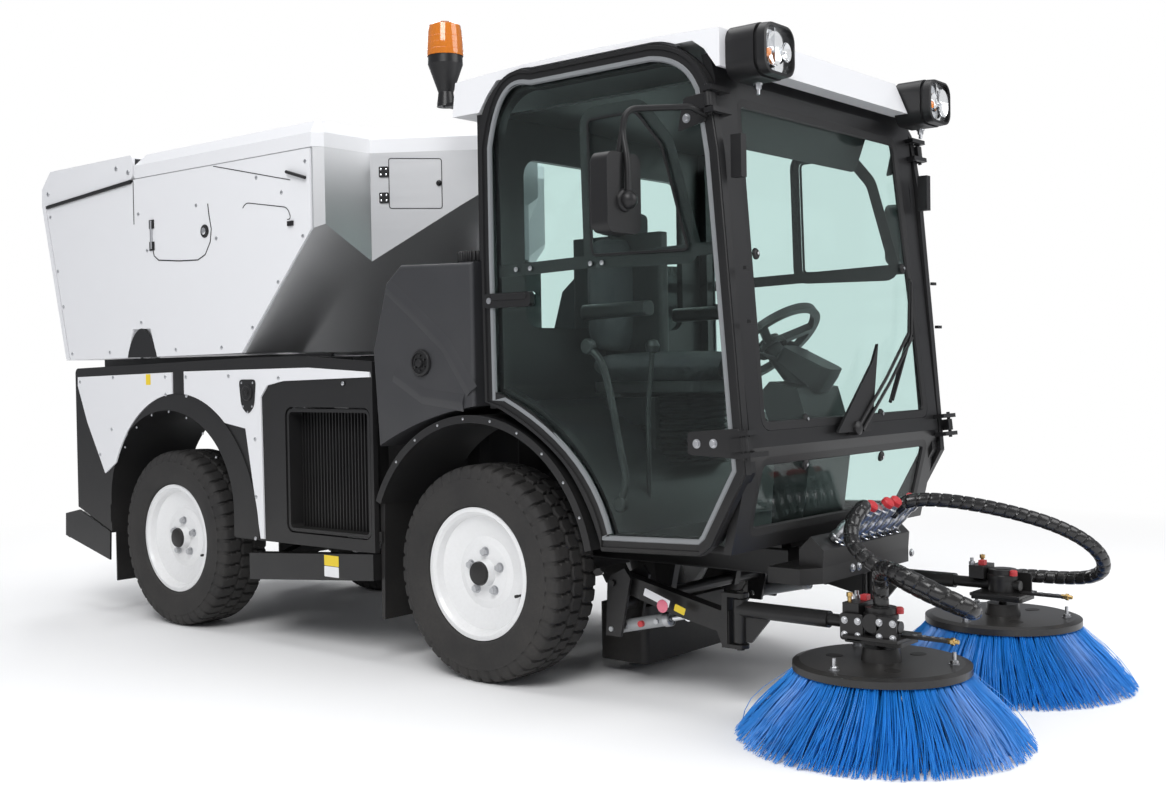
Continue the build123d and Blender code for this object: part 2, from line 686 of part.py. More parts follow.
with BuildPart() as steering_wheel:
    with BuildSketch(COLUMN.offset(COLUMN_L + 6)):
        Circle(190)
        Circle(166, mode=Mode.SUBTRACT)
        Circle(42)
        with PolarLocations(104, 3, 90):
            Rectangle(140, 26)
    extrude(amount=24)
    with BuildSketch(COLUMN.offset(COLUMN_L - 30)):
        Circle(14)
    extrude(amount=40)
save(steering_wheel.part, "steering_wheel")

# Fenders: a ring over each front wheel with its mudflap and the bar that carries it
FENDER_R = 514
FENDER_T = 26
FLAP_X = 30
with BuildPart() as fender:
    with BuildSketch(side(TANK_IN_Y)):
        with BuildLine():
            outer = CenterArc(ARCH_FRONT, FENDER_R, 12, 144)
            inner = CenterArc(ARCH_FRONT, FENDER_R - FENDER_T, 12, 144)
            Line(outer @ 0, inner @ 0)
            Line(outer @ 1, inner @ 1)
        make_face()
    extrude(amount=HALF_WIDTH - TANK_IN_Y - 8)
    with BuildSketch(side(TANK_IN_Y + 110)):
        with BuildLine():
            Polyline((FLAP_X, 590), (FLAP_X + 24, 575), (FLAP_X + 14, 160), (FLAP_X, 160), close=True)
        make_face()
    extrude(amount=200)
    with BuildSketch(side(RAIL_Y + RAIL_W / 2)):
        with Locations((FLAP_X + 7, 450)):
            Rectangle(14, 36)
    extrude(amount=HALF_WIDTH - 20 - RAIL_Y - RAIL_W / 2)
save_both(fender.part, "fenders")

with BuildPart() as tank:
    with BuildSketch(side(TANK_IN_Y)):
        with BuildLine():
            Polyline((60, 770), (35, 1106), (108, 1336), (180, 1393), (525, 1382), (525, 913))
            ThreePointArc((525, 913), (250, 850), (60, 770))
        make_face()
    extrude(amount=HALF_WIDTH - TANK_IN_Y)
    fillet(edges().filter_by(Axis.Y, reverse=True).filter_by(GeomType.LINE).group_by(Axis.Y)[0], 14)
    with BuildSketch(Plane.XY.offset(1380)):
        with Locations((440, -545)):
            Circle(48)
    extrude(amount=42)
save_both(tank.part, "tanks")

# Suction: a nozzle behind the brushes and a duct up to the hopper
DUCT_R = 88
DUCT_PATH = [(810, 0, 232), (730, 0, 500), (380, 0, 800), (90, 0, 940), (70, 0, 1190), (70, 0, 1440)]
with BuildPart() as suction_duct:
    with BuildSketch(Plane.XY.offset(45)):
        with Locations((810, 0)):
            RectangleRounded(200, 480, 24)
    extrude(amount=190)
    with BuildSketch(Plane.XY.offset(45)):
        with Locations((810, 0)):
            RectangleRounded(176, 456, 14)
    extrude(amount=150, mode=Mode.SUBTRACT)
    with BuildLine() as duct_line:
        FilletPolyline(*DUCT_PATH, radius=120)
    with BuildSketch(Plane(origin=duct_line.line @ 0, z_dir=duct_line.line % 0)):
        Circle(DUCT_R)
    sweep(path=duct_line.line)
    # the clamp lugs that sit between the two posts
    with BuildSketch(Plane.XY.offset(960)):
        with Locations((110, 0)):
            Rectangle(40, 2 * (RAIL_Y - 25))
    extrude(amount=30)
    with BuildSketch(Plane.XY.offset(1410)):
        with Locations((70, 0)):
            Circle(DUCT_R + 16)
    extrude(amount=30)
save(suction_duct.part, "suction_duct")

# Hopper: the plan from above, and the two planes that cut its lower front to a keel
PLAN_CORNER_X = -245
HOPPER_PLAN = [(PLAN_CORNER_X - 30, 634), (PLAN_CORNER_X, 604), (PLAN_CORNER_X, 385), (37, 205), (120, 150)]
KEEL_POINT = (-270, -640, 1565)
KEEL_NORMAL = (0.1092, -0.0593, -0.1032)
REAR_FOOT_X = -1962
REAR_HEAD = (-2138, 1785)
SEAM_FRONT = (-1434, 1836)
SHELL_T = 16
SHELL_Y = 634 - SHELL_T
HOOD_Z = 1850


def hopper_form(inset, floor_z, rear_cut):
    """The hopper's body, `inset` inside its outer faces, from `floor_z` up to the hood, open behind if `rear_cut`."""
    shift = 400 if rear_cut else 0
    with BuildPart() as form:
        with BuildSketch(Plane.XY.offset(floor_z)):
            with BuildLine():
                right = [(-2300, 634), *HOPPER_PLAN]
                Polyline(*[(x, -y) for x, y in right], *reversed(right), close=True)
            make_face()
            if inset:
                offset(amount=-inset, kind=Kind.INTERSECTION)
        extrude(amount=HOOD_Z + 60 - floor_z)
        with BuildSketch(Plane.XZ.offset(-700)):
            with BuildLine():
                top = HOOD_Z + (1 if rear_cut else 0)
                Polyline((REAR_FOOT_X - shift, floor_z), (REAR_HEAD[0] - shift, REAR_HEAD[1]),
                         (SEAM_FRONT[0], SEAM_FRONT[1] + (top - HOOD_Z) * 20), (SEAM_FRONT[0], top), (200, top),
                         (200, floor_z), close=True)
            make_face()
        extrude(amount=1400, mode=Mode.INTERSECT)
        for mirrored in (1, -1):
            normal = Vector(KEEL_NORMAL[0], mirrored * KEEL_NORMAL[1], KEEL_NORMAL[2]).normalized()
            point = Vector(KEEL_POINT[0], mirrored * KEEL_POINT[1], KEEL_POINT[2]) - normal * inset
            split(bisect_by=Plane(origin=point, z_dir=normal), keep=Keep.BOTTOM)
    return form.part


INLET_R = 100
with BuildPart() as hopper_shell:
    add(hopper_form(0, HOPPER_FLOOR, False))
    add(hopper_form(SHELL_T, HOPPER_FLOOR + SHELL_T, True), mode=Mode.SUBTRACT)
    # the collar over the suction duct
    with BuildSketch(Plane.XY.offset(1446)):
        with Locations((70, 0)):
            Circle(INLET_R)
    extrude(amount=210)
    with BuildSketch(Plane.XY.offset(1446)):
        with Locations((70, 0)):
            Circle(INLET_R - 14)
    extrude(amount=211, mode=Mode.SUBTRACT)
    # cross beam under the hood's rear edge, with the ears of the tailgate's hinge
    with BuildSketch(Plane.XZ.offset(-620)):
        with Locations((-1470, 1812)):
            Rectangle(68, 36)
    extrude(amount=1240)
    for y in (-257, 243):
        with BuildSketch(Plane.XZ.offset(-y)):
            with Locations((GATE_X, GATE_Z)):
                Circle(16)
            with Locations((GATE_X, (GATE_Z + 1820) / 2)):
                Rectangle(32, GATE_Z - 1820)
            with Locations((GATE_X, GATE_Z)):
                Circle(8.5, mode=Mode.SUBTRACT)
        extrude(amount=-14)
    # hinge plates on both sides of the rear posts, with their pins
    for y in (TIP_Y, -TIP_Y):
        for inner in (y - 50, y + 36):
            with BuildSketch(Plane.XZ.offset(-inner)):
                with Locations((TIP_X, TIP_Z)):
                    Circle(23)
                with Locations((TIP_X, (TIP_Z + HOPPER_FLOOR) / 2 + 2)):
                    Rectangle(46, HOPPER_FLOOR - TIP_Z + 4)
            extrude(amount=-14)
        with BuildSketch(Plane.XZ.offset(-y + 40)):
            with Locations((TIP_X, TIP_Z)):
                Circle(14)
        extrude(amount=-80)
    # plates beside the upper eyes of the hopper's cylinders
    for y in (-RAM_Y, RAM_Y):
        for inner in (y - 44, y + 30):
            with BuildSketch(Plane.XZ.offset(-inner)):
                with Locations(RAM_EYE_TOP):
                    Circle(28)
                with Locations((RAM_EYE_TOP[0], (RAM_EYE_TOP[1] + HOPPER_FLOOR) / 2 + 2)):
                    Rectangle(56, HOPPER_FLOOR - RAM_EYE_TOP[1] + 4)
                with Locations(RAM_EYE_TOP):
                    Circle(13, mode=Mode.SUBTRACT)
            extrude(amount=-14)
    # the side walls are plates of their own
    for y in (-SHELL_Y, SHELL_Y):
        with Locations((-1000, y + (40 if y > 0 else -40), 1500)):
            Box(3000, 80, 1200, mode=Mode.SUBTRACT)
save(hopper_shell.part, "hopper_shell")

with BuildPart() as hopper_wall:
    add(hopper_form(0, HOPPER_FLOOR, False))
    with Locations((-1000, -SHELL_Y - 40, 1500)):
        Box(3000, 80, 1200, mode=Mode.INTERSECT)
save_both(hopper_wall.part, "hopper_walls")

with BuildPart() as hopper_panel:
    with BuildSketch(side(634)):
        with BuildLine():
            Polyline((REAR_FOOT_X, 1103), REAR_HEAD, (-1434, 1836), (-1434, 1846), (-284, 1846), (-284, 1551),
                     (-712, 1110), (-1287, 1106), (-1330, 1223), (-1460, 1223), (-1502, 1104), close=True)
        make_face()
    extrude(amount=6)
save_both(hopper_panel.part, "hopper_panels")

HOOD_PLAN = [(-1424, 640), (HOPPER_PLAN[0][0], 640), *HOPPER_PLAN[1:]]
with BuildPart() as hood_inside:
    with BuildSketch(Plane.XY.offset(HOOD_Z)):
        with BuildLine():
            Polyline(*[(x, -y) for x, y in HOOD_PLAN], *reversed(HOOD_PLAN), close=True)
        make_face()
        offset(amount=-14, kind=Kind.INTERSECTION)
    extrude(amount=44)
    extrude(faces().sort_by(Axis.Z)[-1], amount=42, taper=38)

with BuildPart() as hopper_hood:
    with BuildSketch(Plane.XY.offset(HOOD_Z)):
        with BuildLine():
            Polyline(*[(x, -y) for x, y in HOOD_PLAN], *reversed(HOOD_PLAN), close=True)
        make_face()
    extrude(amount=52)
    extrude(faces().sort_by(Axis.Z)[-1], amount=48, taper=38)
    add(hood_inside.part, mode=Mode.SUBTRACT)
save(hopper_hood.part, "hopper_hood")

# Tailgate: the slanted rear panel and the cap over the hopper's upper rear, open below
CAP_TOP = 1950
GATE_HALF_W = 640
with BuildPart() as tailgate:
    with BuildSketch(Plane.XZ.offset(-GATE_HALF_W)):
        with BuildLine():
            Polyline((-2177, 1797), (-2174, 1875), (-2100, 1948), (-1450, CAP_TOP), (-1440, 1940), (-1440, 1862),
                     (-1452, 1849), close=True)
        make_face()
    extrude(amount=2 * GATE_HALF_W)
    with BuildSketch(Plane.XZ.offset(-GATE_HALF_W + 14)):
        with BuildLine():
            Polyline((-2150, 1700), (-2160, 1872), (-2092, 1934), (-1400, 1936), (-1400, 1700), close=True)
        make_face()
    extrude(amount=2 * GATE_HALF_W - 28, mode=Mode.SUBTRACT)
    with BuildSketch(Plane.XZ.offset(-GATE_HALF_W)):
        with BuildLine():
            Polyline((-2177, 1800), (-1997, 1101), (-1972, 1108), (-2150, 1800), close=True)
        make_face()
    extrude(amount=2 * GATE_HALF_W)
    # the flap over the slot in the rear panel, with its two cheeks
    for y in (-520, 506):
        with BuildSketch(Plane.XZ.offset(-y)):
            with BuildLine():
                Polyline((-2131, 1633), (-2274, 1452), (-2084, 1444), close=True)
            make_face()
        extrude(amount=-14)
    with BuildSketch(Plane.XZ.offset(-520)):
        with BuildLine():
            Polyline((-2131, 1640), (-2141, 1633), (-2274, 1452), (-2266, 1449), (-2120, 1632), close=True)
        make_face()
    extrude(amount=1040)
    for y in (-275, 261):
        with BuildSketch(Plane.XZ.offset(-y)):
            with Locations((GATE_X, GATE_Z)):
                Circle(16)
            with Locations((GATE_X, (GATE_Z + 1940) / 2)):
                Rectangle(32, 1940 - GATE_Z)
        extrude(amount=-14)
    for y in (-268, 238):
        with BuildSketch(Plane.XZ.offset(-y)):
            with Locations((GATE_X, GATE_Z)):
                Circle(8)
        extrude(amount=-30)
save(tailgate.part, "tailgate")


def cylinder_barrel(low, top, y, radius, length, eye_r, eye_half, pin_r, pin_half):
    """A cylinder's barrel from its lower eye, bored for the rod, with the cross pin in its eye."""
    run = ray_plane(low, top, y)
    with BuildPart() as barrel:
        with BuildSketch(run.offset(eye_r - 4)):
            Circle(radius)
        extrude(amount=length - eye_r + 4)
        with BuildSketch(Plane.XZ.offset(-y - eye_half)):
            with Locations(low):
                Circle(eye_r)
        extrude(amount=2 * eye_half)
        with BuildSketch(Plane.XZ.offset(-y - pin_half)):
            with Locations(low):
                Circle(pin_r)
        extrude(amount=2 * pin_half)
        with BuildSketch(run.offset(eye_r + 30)):
            Circle(radius * 0.5 + 1)
        extrude(amount=length, mode=Mode.SUBTRACT)
    return barrel.part


def cylinder_rod(low, top, y, radius, start, eye_r, eye_half):
    """A cylinder's rod from `start` along the line to its upper eye."""
    run = ray_plane(low, top, y)
    reach = (Vector(*top) - Vector(*low)).length
    with BuildPart() as rod:
        with BuildSketch(run.offset(start)):
            Circle(radius)
        extrude(amount=reach - start - eye_r / 2)
        with BuildSketch(Plane.XZ.offset(-y - eye_half)):
            with Locations(top):
                Circle(eye_r)
        extrude(amount=2 * eye_half)
    return rod.part


RAM_BARREL_L = 560
save_both(cylinder_barrel(RAM_EYE_LOW, RAM_EYE_TOP, -RAM_Y, RAM_R, RAM_BARREL_L, 30, 34, 14, 50), "ram_barrels")
save_both(cylinder_rod(RAM_EYE_LOW, RAM_EYE_TOP, -RAM_Y, RAM_ROD_R, 70, 25, 24), "ram_rods")

# Front carrier: the box on the rail ends and the slanted plate with the quick couplers
with BuildPart() as front_carrier:
    with BuildSketch(Plane.XY.offset(382)):
        with BuildLine():
            Polyline((1450, -345), (1560, -345), (1600, -280), (1600, 280), (1560, 345), (1450, 345), close=True)
        make_face()
    extrude(amount=48)
    with BuildSketch(Plane.XZ.offset(-280)):
        with BuildLine():
            Polyline((1520, 430), (1600, 430), (1604, 480), (1560, 520), (1520, 480), close=True)
        make_face()
    extrude(amount=560)
    with BuildSketch(Plane(origin=(1582, 0, 500), x_dir=(0, 1, 0), z_dir=(0.7, 0, 0.72))):
        with GridLocations(52, 1, 8, 1):
            Circle(17)
    extrude(amount=84)
save(front_carrier.part, "front_carrier")

# Brush gear. Lift arm: pivot boss, arm, the ears of its cylinder, and the fork of the swing pin
FORK_LOW = 192
FORK_HIGH = 345
with BuildPart() as lift_arm:
    with BuildSketch(Plane.XZ.offset(ARM_Y - 22)):
        with BuildLine():
            Polyline((LIFT_X - 20, 332), (LIFT_X, 384), (1340, 302), (1374, 302), (1374, FORK_LOW), (1350, FORK_LOW),
                     (1330, 238), (1262, 252), (1180, 268), close=True)
        make_face()
        with Locations((LIFT_X, LIFT_Z)):
            Circle(30)
    extrude(amount=44)
    with BuildSketch(Plane.XZ.offset(ARM_Y - 12)):
        with BuildLine():
            Polyline((1145, 190), (1145, 300), (1256, 284), (1256, 190), close=True)
        make_face()
    extrude(amount=24, mode=Mode.SUBTRACT)
    with BuildSketch(Plane.XZ.offset(ARM_Y - 56)):
        with Locations((LIFT_X, LIFT_Z)):
            Circle(10)
    extrude(amount=112)
    for low in (FORK_LOW, FORK_HIGH):
        with BuildSketch(Plane.XY.offset(low)):
            with Locations((SWING_X, -ARM_Y)):
                Circle(26)
            with Locations((SWING_X - 25, -ARM_Y)):
                Rectangle(50, 52)
        extrude(amount=12)
    with BuildSketch(Plane.YZ.offset(1350)):
        with Locations((-ARM_Y, (FORK_LOW + FORK_HIGH + 12) / 2)):
            Rectangle(52, FORK_HIGH + 12 - FORK_LOW)
    extrude(amount=20)
    with BuildSketch(Plane.XY.offset(FORK_LOW - 6)):
        with Locations((SWING_X, -ARM_Y)):
            Circle(12)
    extrude(amount=FORK_HIGH - FORK_LOW + 24)
save_pair(lift_arm.part, "lift_arm")

save_pair(cylinder_barrel(LIFT_EYE_LOW, LIFT_EYE_ARM, -ARM_Y, 20, 205, 21, 12, 8, 50), "lift_barrel")
save_pair(cylinder_rod(LIFT_EYE_LOW, LIFT_EYE_ARM, -ARM_Y, 9, 60, 16, 8), "lift_rod")

# Swing arm: sleeve on the pin, gusset, telescopic tube and the brush head with its motor
with BuildPart() as swing_arm:
    with BuildSketch(Plane.XY.offset(FORK_LOW + 18)):
        with Locations((SWING_X, -ARM_Y)):
            Circle(22)
    extrude(amount=FORK_HIGH - FORK_LOW - 24)
    with BuildSketch(Plane.YZ.offset(SWING_X)):
        with Locations((-ARM_Y, TUBE_Z)):
            Circle(24)
    extrude(amount=300)
    with BuildSketch(Plane.YZ.offset(SWING_X + 290)):
        with Locations((-ARM_Y, TUBE_Z)):
            Circle(17.5)
    extrude(amount=230)
    with BuildSketch(Plane.XZ.offset(ARM_Y - 5)):
        with BuildLine():
            Polyline((SWING_X + 10, 212), (SWING_X + 40, 212), (SWING_X + 115, 300), (SWING_X + 10, 300), close=True)
        make_face()
    extrude(amount=10)
    with BuildSketch(Plane.XY.offset(266)):
        with Locations((BRUSH_X, -ARM_Y)):
            RectangleRounded(170, 120, 12)
    extrude(amount=12)
    with BuildSketch(Plane.XY.offset(270)):
        with Locations((BRUSH_X, -ARM_Y)):
            Circle(44)
    extrude(amount=92)
    with BuildSketch(Plane.XZ.offset(ARM_Y)):
        with Locations((BRUSH_X, PORT_Z)):
            Circle(26)
    extrude(amount=PORT_LENGTH)
    with BuildSketch(Plane.XY.offset(FORK_LOW)):
        with Locations((SWING_X, -ARM_Y)):
            Circle(13)
    extrude(amount=160, mode=Mode.SUBTRACT)
    with BuildSketch(Plane.XY.offset(260)):
        with Locations((BRUSH_X, -ARM_Y)):
            Circle(13)
    extrude(amount=34, mode=Mode.SUBTRACT)
save_pair(swing_arm.part, "swing_arm")

with BuildPart() as brush_disc:
    with BuildSketch(Plane.XZ.offset(ARM_Y)):
        with BuildLine():
            Polyline((BRUSH_X, DISC_UNDER), (BRUSH_X + DISC_R, DISC_UNDER), (BRUSH_X + DISC_R, DISC_TOP - 6),
                     (BRUSH_X + DISC_R - 20, DISC_TOP), (BRUSH_X + 56, DISC_TOP), (BRUSH_X + 50, 252),
                     (BRUSH_X + 12, 252), (BRUSH_X + 12, 288), (BRUSH_X, 288), close=True)
        make_face()
    revolve(axis=Axis((BRUSH_X, -ARM_Y, 0), (0, 0, 1)))
save_pair(brush_disc.part, "brush_disc")

with BuildPart() as bristles:
    with BuildSketch(Plane.XZ.offset(ARM_Y)):
        with BuildLine():
            Polyline((BRUSH_X + 150, DISC_UNDER), (BRUSH_X + 235, DISC_UNDER), (BRUSH_X + TIP_R, 0),
                     (BRUSH_X + TIP_R - 100, 0), close=True)
        make_face()
    revolve(axis=Axis((BRUSH_X, -ARM_Y, 0), (0, 0, 1)))
save_pair(bristles.part, "bristles")

# Hoses: a bundle from the quick couplers to each brush motor, as straight runs joined by tangent arcs
HOSE_R = 22
HOSE_ROUTES = {
    "right": [
        (1640.6, -182, 560.2), (1670, -182, 590.4), (1700, -206, 612), (1716, -256, 610), (1714, -306, 578),
        (1722, -340, 528), (1778, -360, 484), (1868, -378, 446), (1972, -396, 410), (2070, -418, 386),
        (2140, -452, 380), (2172, -515, 398), (2142, -572, 428), (2072, -590, 462), (1996, -572, 484),
        (1924, -522, 490), (1880, -464, 470), (BRUSH_X, -ARM_Y, 425), (BRUSH_X, -ARM_Y, MOTOR_TOP),
    ],
    "left": [
        (1640.6, 78, 560.2), (1673, 78, 593.5), (1716, 104, 606), (1786, 152, 604), (1876, 218, 586),
        (1968, 292, 558), (2050, 368, 522), (2112, 440, 476), (2146, 510, 420), (2136, 572, 362),
        (2080, 612, 328), (2004, 616, 318), (1936, 604, 318), (1886, 580, 321),
        (BRUSH_X, 540, PORT_Z), (BRUSH_X, ARM_Y + PORT_LENGTH, PORT_Z),
    ],
}

for side_name, route in HOSE_ROUTES.items():
    points = [Vector(*point) for point in route]
    runs = [end - start for start, end in zip(points, points[1:])]
    radii = [0.45 * min(before.length, after.length) / tan(radians(before.get_angle(after)) / 2)
             for before, after in zip(runs, runs[1:])]
    print(f"hose_{side_name} bend radii in mm:", [round(radius) for radius in radii])
    with BuildPart() as hose:
        with BuildLine() as path:
            FilletPolyline(*points, radius=radii)
        with BuildSketch(Plane(origin=points[0], z_dir=runs[0])):
            Circle(HOSE_R)
        sweep()
    tube_volume = pi * HOSE_R**2 * path.wire().length
    print(f"length {path.wire().length:.0f} mm, volume {hose.part.volume / tube_volume:.4f} of a tube's")
    save(hose.part, f"hose_{side_name}")
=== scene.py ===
import json
import math

import bmesh
import bpy
import numpy as np
from mathutils import Matrix, Vector

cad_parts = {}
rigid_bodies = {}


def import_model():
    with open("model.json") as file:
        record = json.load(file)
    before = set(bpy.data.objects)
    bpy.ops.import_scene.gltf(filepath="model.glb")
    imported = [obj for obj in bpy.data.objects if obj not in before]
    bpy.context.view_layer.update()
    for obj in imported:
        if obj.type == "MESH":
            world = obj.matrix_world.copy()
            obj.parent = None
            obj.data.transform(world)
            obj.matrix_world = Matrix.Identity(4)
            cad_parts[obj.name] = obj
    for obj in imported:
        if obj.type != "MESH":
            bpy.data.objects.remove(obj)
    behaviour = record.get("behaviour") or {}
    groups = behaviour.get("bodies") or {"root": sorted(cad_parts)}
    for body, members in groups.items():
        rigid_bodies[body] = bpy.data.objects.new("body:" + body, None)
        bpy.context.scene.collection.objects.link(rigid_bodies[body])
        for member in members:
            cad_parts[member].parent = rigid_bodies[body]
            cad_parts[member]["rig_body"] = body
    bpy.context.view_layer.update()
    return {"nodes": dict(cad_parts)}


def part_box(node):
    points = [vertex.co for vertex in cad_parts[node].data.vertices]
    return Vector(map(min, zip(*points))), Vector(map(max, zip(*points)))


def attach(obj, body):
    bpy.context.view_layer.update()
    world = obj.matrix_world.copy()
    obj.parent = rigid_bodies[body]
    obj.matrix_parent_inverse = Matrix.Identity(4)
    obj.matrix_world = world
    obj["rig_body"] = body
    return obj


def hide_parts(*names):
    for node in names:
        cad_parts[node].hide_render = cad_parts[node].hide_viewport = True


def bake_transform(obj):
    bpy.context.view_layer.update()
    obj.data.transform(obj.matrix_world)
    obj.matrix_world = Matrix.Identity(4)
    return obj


bl_info = {
    "name": "Compact street sweeper",
    "version": (1, 0, 0),
    "blender": (4, 5, 0),
    "location": "View3D > Sidebar > Sweeper",
    "description": "Dresses the packed frame of a compact street sweeper: finishes, tyres, brushes, "
                   "hoses and lamps",
    "category": "Object",
}

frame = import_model()

SIDES = (("right", -1), ("left", 1))
CORNERS = (("front_right", 0.5, -1), ("front_left", 0.5, 1), ("rear_right", -1.22, -1),
           ("rear_left", -1.22, 1))
AXLE_Z = 0.36
WHEEL_Y = 0.522
ARM_Y = 0.42
BRUSH_X = 1.86
PANEL_Y = 0.6402
rng = np.random.default_rng(7)


# Sizes and colours that a user would change

class SweeperSizes(bpy.types.PropertyGroup):
    tread_depth: bpy.props.FloatProperty(
        name="Tread depth", description="Depth of the grooves between the tread blocks",
        default=0.009, min=0.0, max=0.02, unit="LENGTH")
    tread_pitches: bpy.props.IntProperty(
        name="Tread pitches", description="Number of block rows round a tyre", default=44, min=12, max=90)
    tufts: bpy.props.IntProperty(
        name="Tufts", description="Bristle tufts in the outer row of a brush", default=60, min=12, max=90)
    strands: bpy.props.IntProperty(
        name="Strands", description="Bristles in one tuft", default=17, min=4, max=30)
    screw_radius: bpy.props.FloatProperty(
        name="Screw radius", description="Radius of the panel screws' heads", default=0.0075, unit="LENGTH")


class SweeperColours(bpy.types.PropertyGroup):
    panels: bpy.props.FloatVectorProperty(
        name="Panels", description="White of the body, hopper and roof", subtype="COLOR",
        default=(0.79, 0.795, 0.815), min=0, max=1)
    bristles: bpy.props.FloatVectorProperty(
        name="Bristles", description="Blue of the brushes", subtype="COLOR",
        default=(0.012, 0.215, 0.66), min=0, max=1)
    tint: bpy.props.FloatVectorProperty(
        name="Glass tint", description="Green tint of the panes", subtype="COLOR",
        default=(0.74, 0.86, 0.84), min=0, max=1)
    beacon: bpy.props.FloatVectorProperty(
        name="Beacon", description="Amber of the beacon", subtype="COLOR",
        default=(0.86, 0.24, 0.008), min=0, max=1)


def sizes():
    return bpy.context.scene.sweeper_sizes


def colours():
    return bpy.context.scene.sweeper_colours


# Surfaces

def unit(vector):
    """A vector at length one."""
    vector = np.asarray(vector, float)
    return vector / np.linalg.norm(vector)


def directions(path):
    """The unit tangent at each point of a path."""
    tangent = np.gradient(path, axis=0)
    return tangent / np.linalg.norm(tangent, axis=1)[:, None]


def winding(outline):
    """Twice the signed area of an outline (across, up): above zero where it runs anticlockwise."""
    return np.sum(outline[:, 0] * np.roll(outline[:, 1], -1) - np.roll(outline[:, 0], -1) * outline[:, 1])


